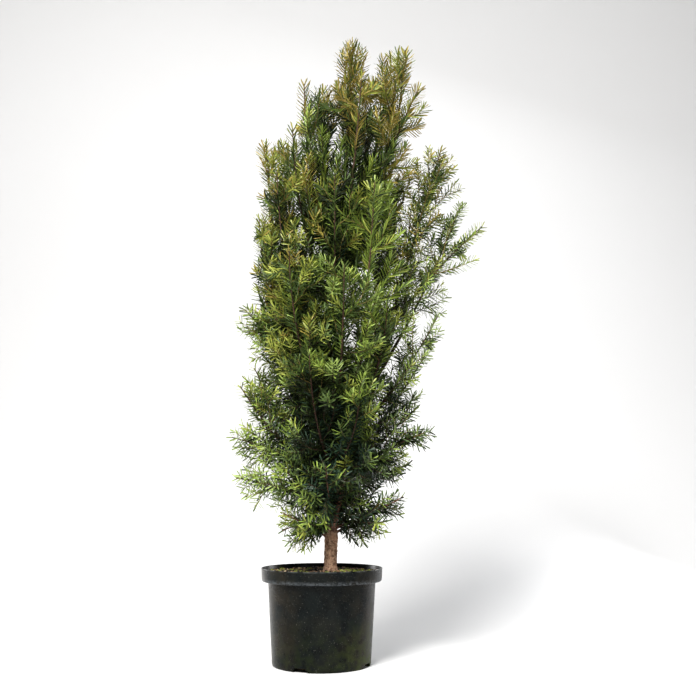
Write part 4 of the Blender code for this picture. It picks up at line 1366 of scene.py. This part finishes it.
def pot_material():
    """Worn near-black plastic: a pale grey band on the ledge, specks of soil, and algae low down.
    """
    nodes = Nodes("pot plastic", (0.005, 0.006, 0.006), 0.36, 0.10)
    nodes.shader.inputs["Coat Weight"].default_value = 0.11
    nodes.shader.inputs["Coat Roughness"].default_value = 0.16
    x, _, z = nodes.axes()
    cloud = nodes.noise(28.0, 5.0, 0.6)
    aside = nodes.ramp(nodes.math("ABSOLUTE", x, 0.0), 0.035, 0.105, 0.25, 1.0)
    brown = nodes.times(nodes.ramp(nodes.noise(16.0, 5.0, 0.65), 0.40, 0.62), aside)
    low_right = nodes.times(nodes.ramp(z, 0.12, 0.01), nodes.ramp(x, 0.03, 0.105, 0.22, 1.0))
    algae = nodes.times(low_right, nodes.ramp(nodes.noise(46.0, 6.0, 0.7), 0.40, 0.60))
    ledge = nodes.times(nodes.ramp(z, 0.1845, 0.1875), nodes.ramp(z, 0.196, 0.1885))
    # Pale grey on the ledge under the rim band, broken up by noise.
    pale_ledge = nodes.times(ledge, nodes.ramp(nodes.noise(170.0, 6.0, 0.75), 0.40, 0.66))
    specks = nodes.ramp(nodes.noise(430.0, 1.0, 0.5), 0.700, 0.735)
    lip = nodes.times(nodes.ramp(z, 0.2125, 0.2150), nodes.ramp(nodes.noise(60.0, 5.0), 0.42, 0.60))
    color = nodes.mix(nodes.ramp(cloud, 0.35, 0.65), *POT_COLORS)
    stains = ((brown, 0.60), (algae, 0.85), (pale_ledge, 0.60), (specks, 0.60), (lip, 0.55))
    for (mask, strength), stain in zip(stains, POT_STAINS):
        color = nodes.mix(nodes.times(mask, strength), color, stain)
    nodes.color(color)
    rough = nodes.ramp(cloud, 0.3, 0.7, 0.20, 0.36)
    nodes.rough(nodes.math("ADD", rough, nodes.times(algae, 0.35)))
    nodes.bump(nodes.noise(340.0, 5.0, 0.6), 0.14, 0.0005)
    return nodes.material


def ground_material(name, light, dark, scale):
    """Crumbly material with light and dark grains."""
    nodes = Nodes(name, light, 0.95)
    grains = nodes.noise(scale, 6.0, 0.7)
    nodes.color(nodes.mix(nodes.ramp(grains, 0.35, 0.65), dark, light))
    nodes.bump(nodes.noise(scale * 2.5, 5.0, 0.7), 0.8, 0.001)
    return nodes.material


def build_stage():
    """A pale matt floor that sweeps up into a backdrop."""
    nodes = Nodes("stage", STAGE_COLOR, 0.9, 0.2)
    foot = STAGE_BACK - STAGE_RADIUS
    section = [(STAGE_FRONT, 0.0), (foot, 0.0)]
    for k in range(1, 13):
        turn = k * math.pi / 24
        y = foot + STAGE_RADIUS * math.sin(turn)
        section.append((y, STAGE_RADIUS - STAGE_RADIUS * math.cos(turn)))
    section.append((STAGE_BACK, STAGE_TOP))
    points = [(x, y, z) for y, z in section for x in (-STAGE_HALF, STAGE_HALF)]
    quads = [(2 * k, 2 * k + 1, 2 * k + 3, 2 * k + 2) for k in range(len(section) - 1)]
    faces = [np.array(quads)]
    new_mesh("floor_and_backdrop", np.array(points), faces, nodes.material, True)


def add_light(name, location, target, size, power, color):
    """A soft light that faces a point."""
    light = bpy.data.lights.new(name, "AREA")
    light.shape = "DISK"
    light.size = size
    light.energy = power
    light.color = color
    obj = new_object(name, light)
    obj.visible_camera = False
    obj.location = location
    way = Vector(target) - Vector(location)
    obj.rotation_euler = way.to_track_quat("-Z", "Y").to_euler()


def add_lights():
    """A pale sky all round, a key light from the upper left, and weaker lights round the plant."""
    world = bpy.data.worlds.new("studio")
    bpy.context.scene.world = world
    world.use_nodes = True
    background = world.node_tree.nodes["Background"]
    background.inputs["Color"].default_value = (1.0, 1.0, 1.0, 1.0)
    background.inputs["Strength"].default_value = WORLD_STRENGTH
    for name, values in LIGHTS.items():
        add_light(name, *values)


def add_camera():
    """The photograph's camera: low in front of the pot, tilted up at the crown."""
    camera = bpy.data.cameras.new("camera")
    camera.sensor_width = SENSOR
    camera.lens = SENSOR * FOCAL_PIXELS / PHOTO_WIDTH
    obj = new_object("camera", camera)
    obj.location = CAMERA_PLACE
    obj.rotation_euler = (math.pi / 2 + math.atan(RISE_PIXELS / FOCAL_PIXELS), 0.0, 0.0)
    bpy.context.scene.camera = obj


def place(piece, slot, nodes=()):
    """Rides the piece on the plant's one body; the slot it stands for is not used."""
    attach(piece, "root")
    if nodes:
        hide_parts(*nodes)


def dress_pot():
    """The pot and what is in it."""
    rng = np.random.default_rng([SEED, 900])
    place(build_pot(pot_material()), "pot_plastic", ["pot"])
    soil = ground_material("potting bark", (0.160, 0.115, 0.065), (0.024, 0.018, 0.012), 120.0)
    place(build_soil(soil), "potting_bark", ["soil"])
    for name, (grains, count, sizes, flatness) in CHIPS.items():
        material = ground_material(*grains)
        place(build_chips(name, count, sizes, flatness, rng, material), "potting_bark")
    moss = ground_material("moss", (0.380, 0.430, 0.095), (0.130, 0.165, 0.034), 240.0)
    place(build_moss(rng, moss), "potting_bark")


def dress_plant():
    """The trunk, the limbs, the twigs and the needles."""
    limbs = plan_limbs()
    space = Space()
    for limb in limbs:
        line = bend_line(*limb["corners"], max(8, int(limb["length"] / SAMPLE)))
        space.take(line[len(line) // 2:], LIMB_ROOM)
    shoots = []
    for number, limb in enumerate(limbs):
        shoots += grow_limb(limb, number, space)
    bark, wood = (bark_material(name, *colors) for name, colors in BARKS.items())
    place(build_trunk(bark), "bark", ["trunk"])
    boughs = [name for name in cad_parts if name.startswith("bough_")]
    place(build_limbs(limbs, wood), "bark", boughs)
    for piece in build_twigs(shoots):
        place(piece, "bark")
    rng = np.random.default_rng([SEED, 500])
    needles = lay_needles(shoots, rng)
    tones = needle_tones(shoots, needles, rng)
    for number, (tone, color) in enumerate(TONES.items()):
        material = needle_material(f"{tone} needles", color)
        chosen = np.flatnonzero(tones == number)
        parts = np.array_split(chosen, -(-len(chosen) // NEEDLES_A_PIECE))
        for part, few in enumerate(parts, 1):
            place(build_needles(f"needles_{tone}_{part}", needles, few, material), "needles")
    masses = [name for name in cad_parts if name.startswith("foliage_")]
    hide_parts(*masses)


dress_pot()
dress_plant()
build_stage()
add_lights()
add_camera()
bpy.context.scene.view_settings.view_transform = "Standard"
bpy.context.scene.view_settings.look = "Medium High Contrast"
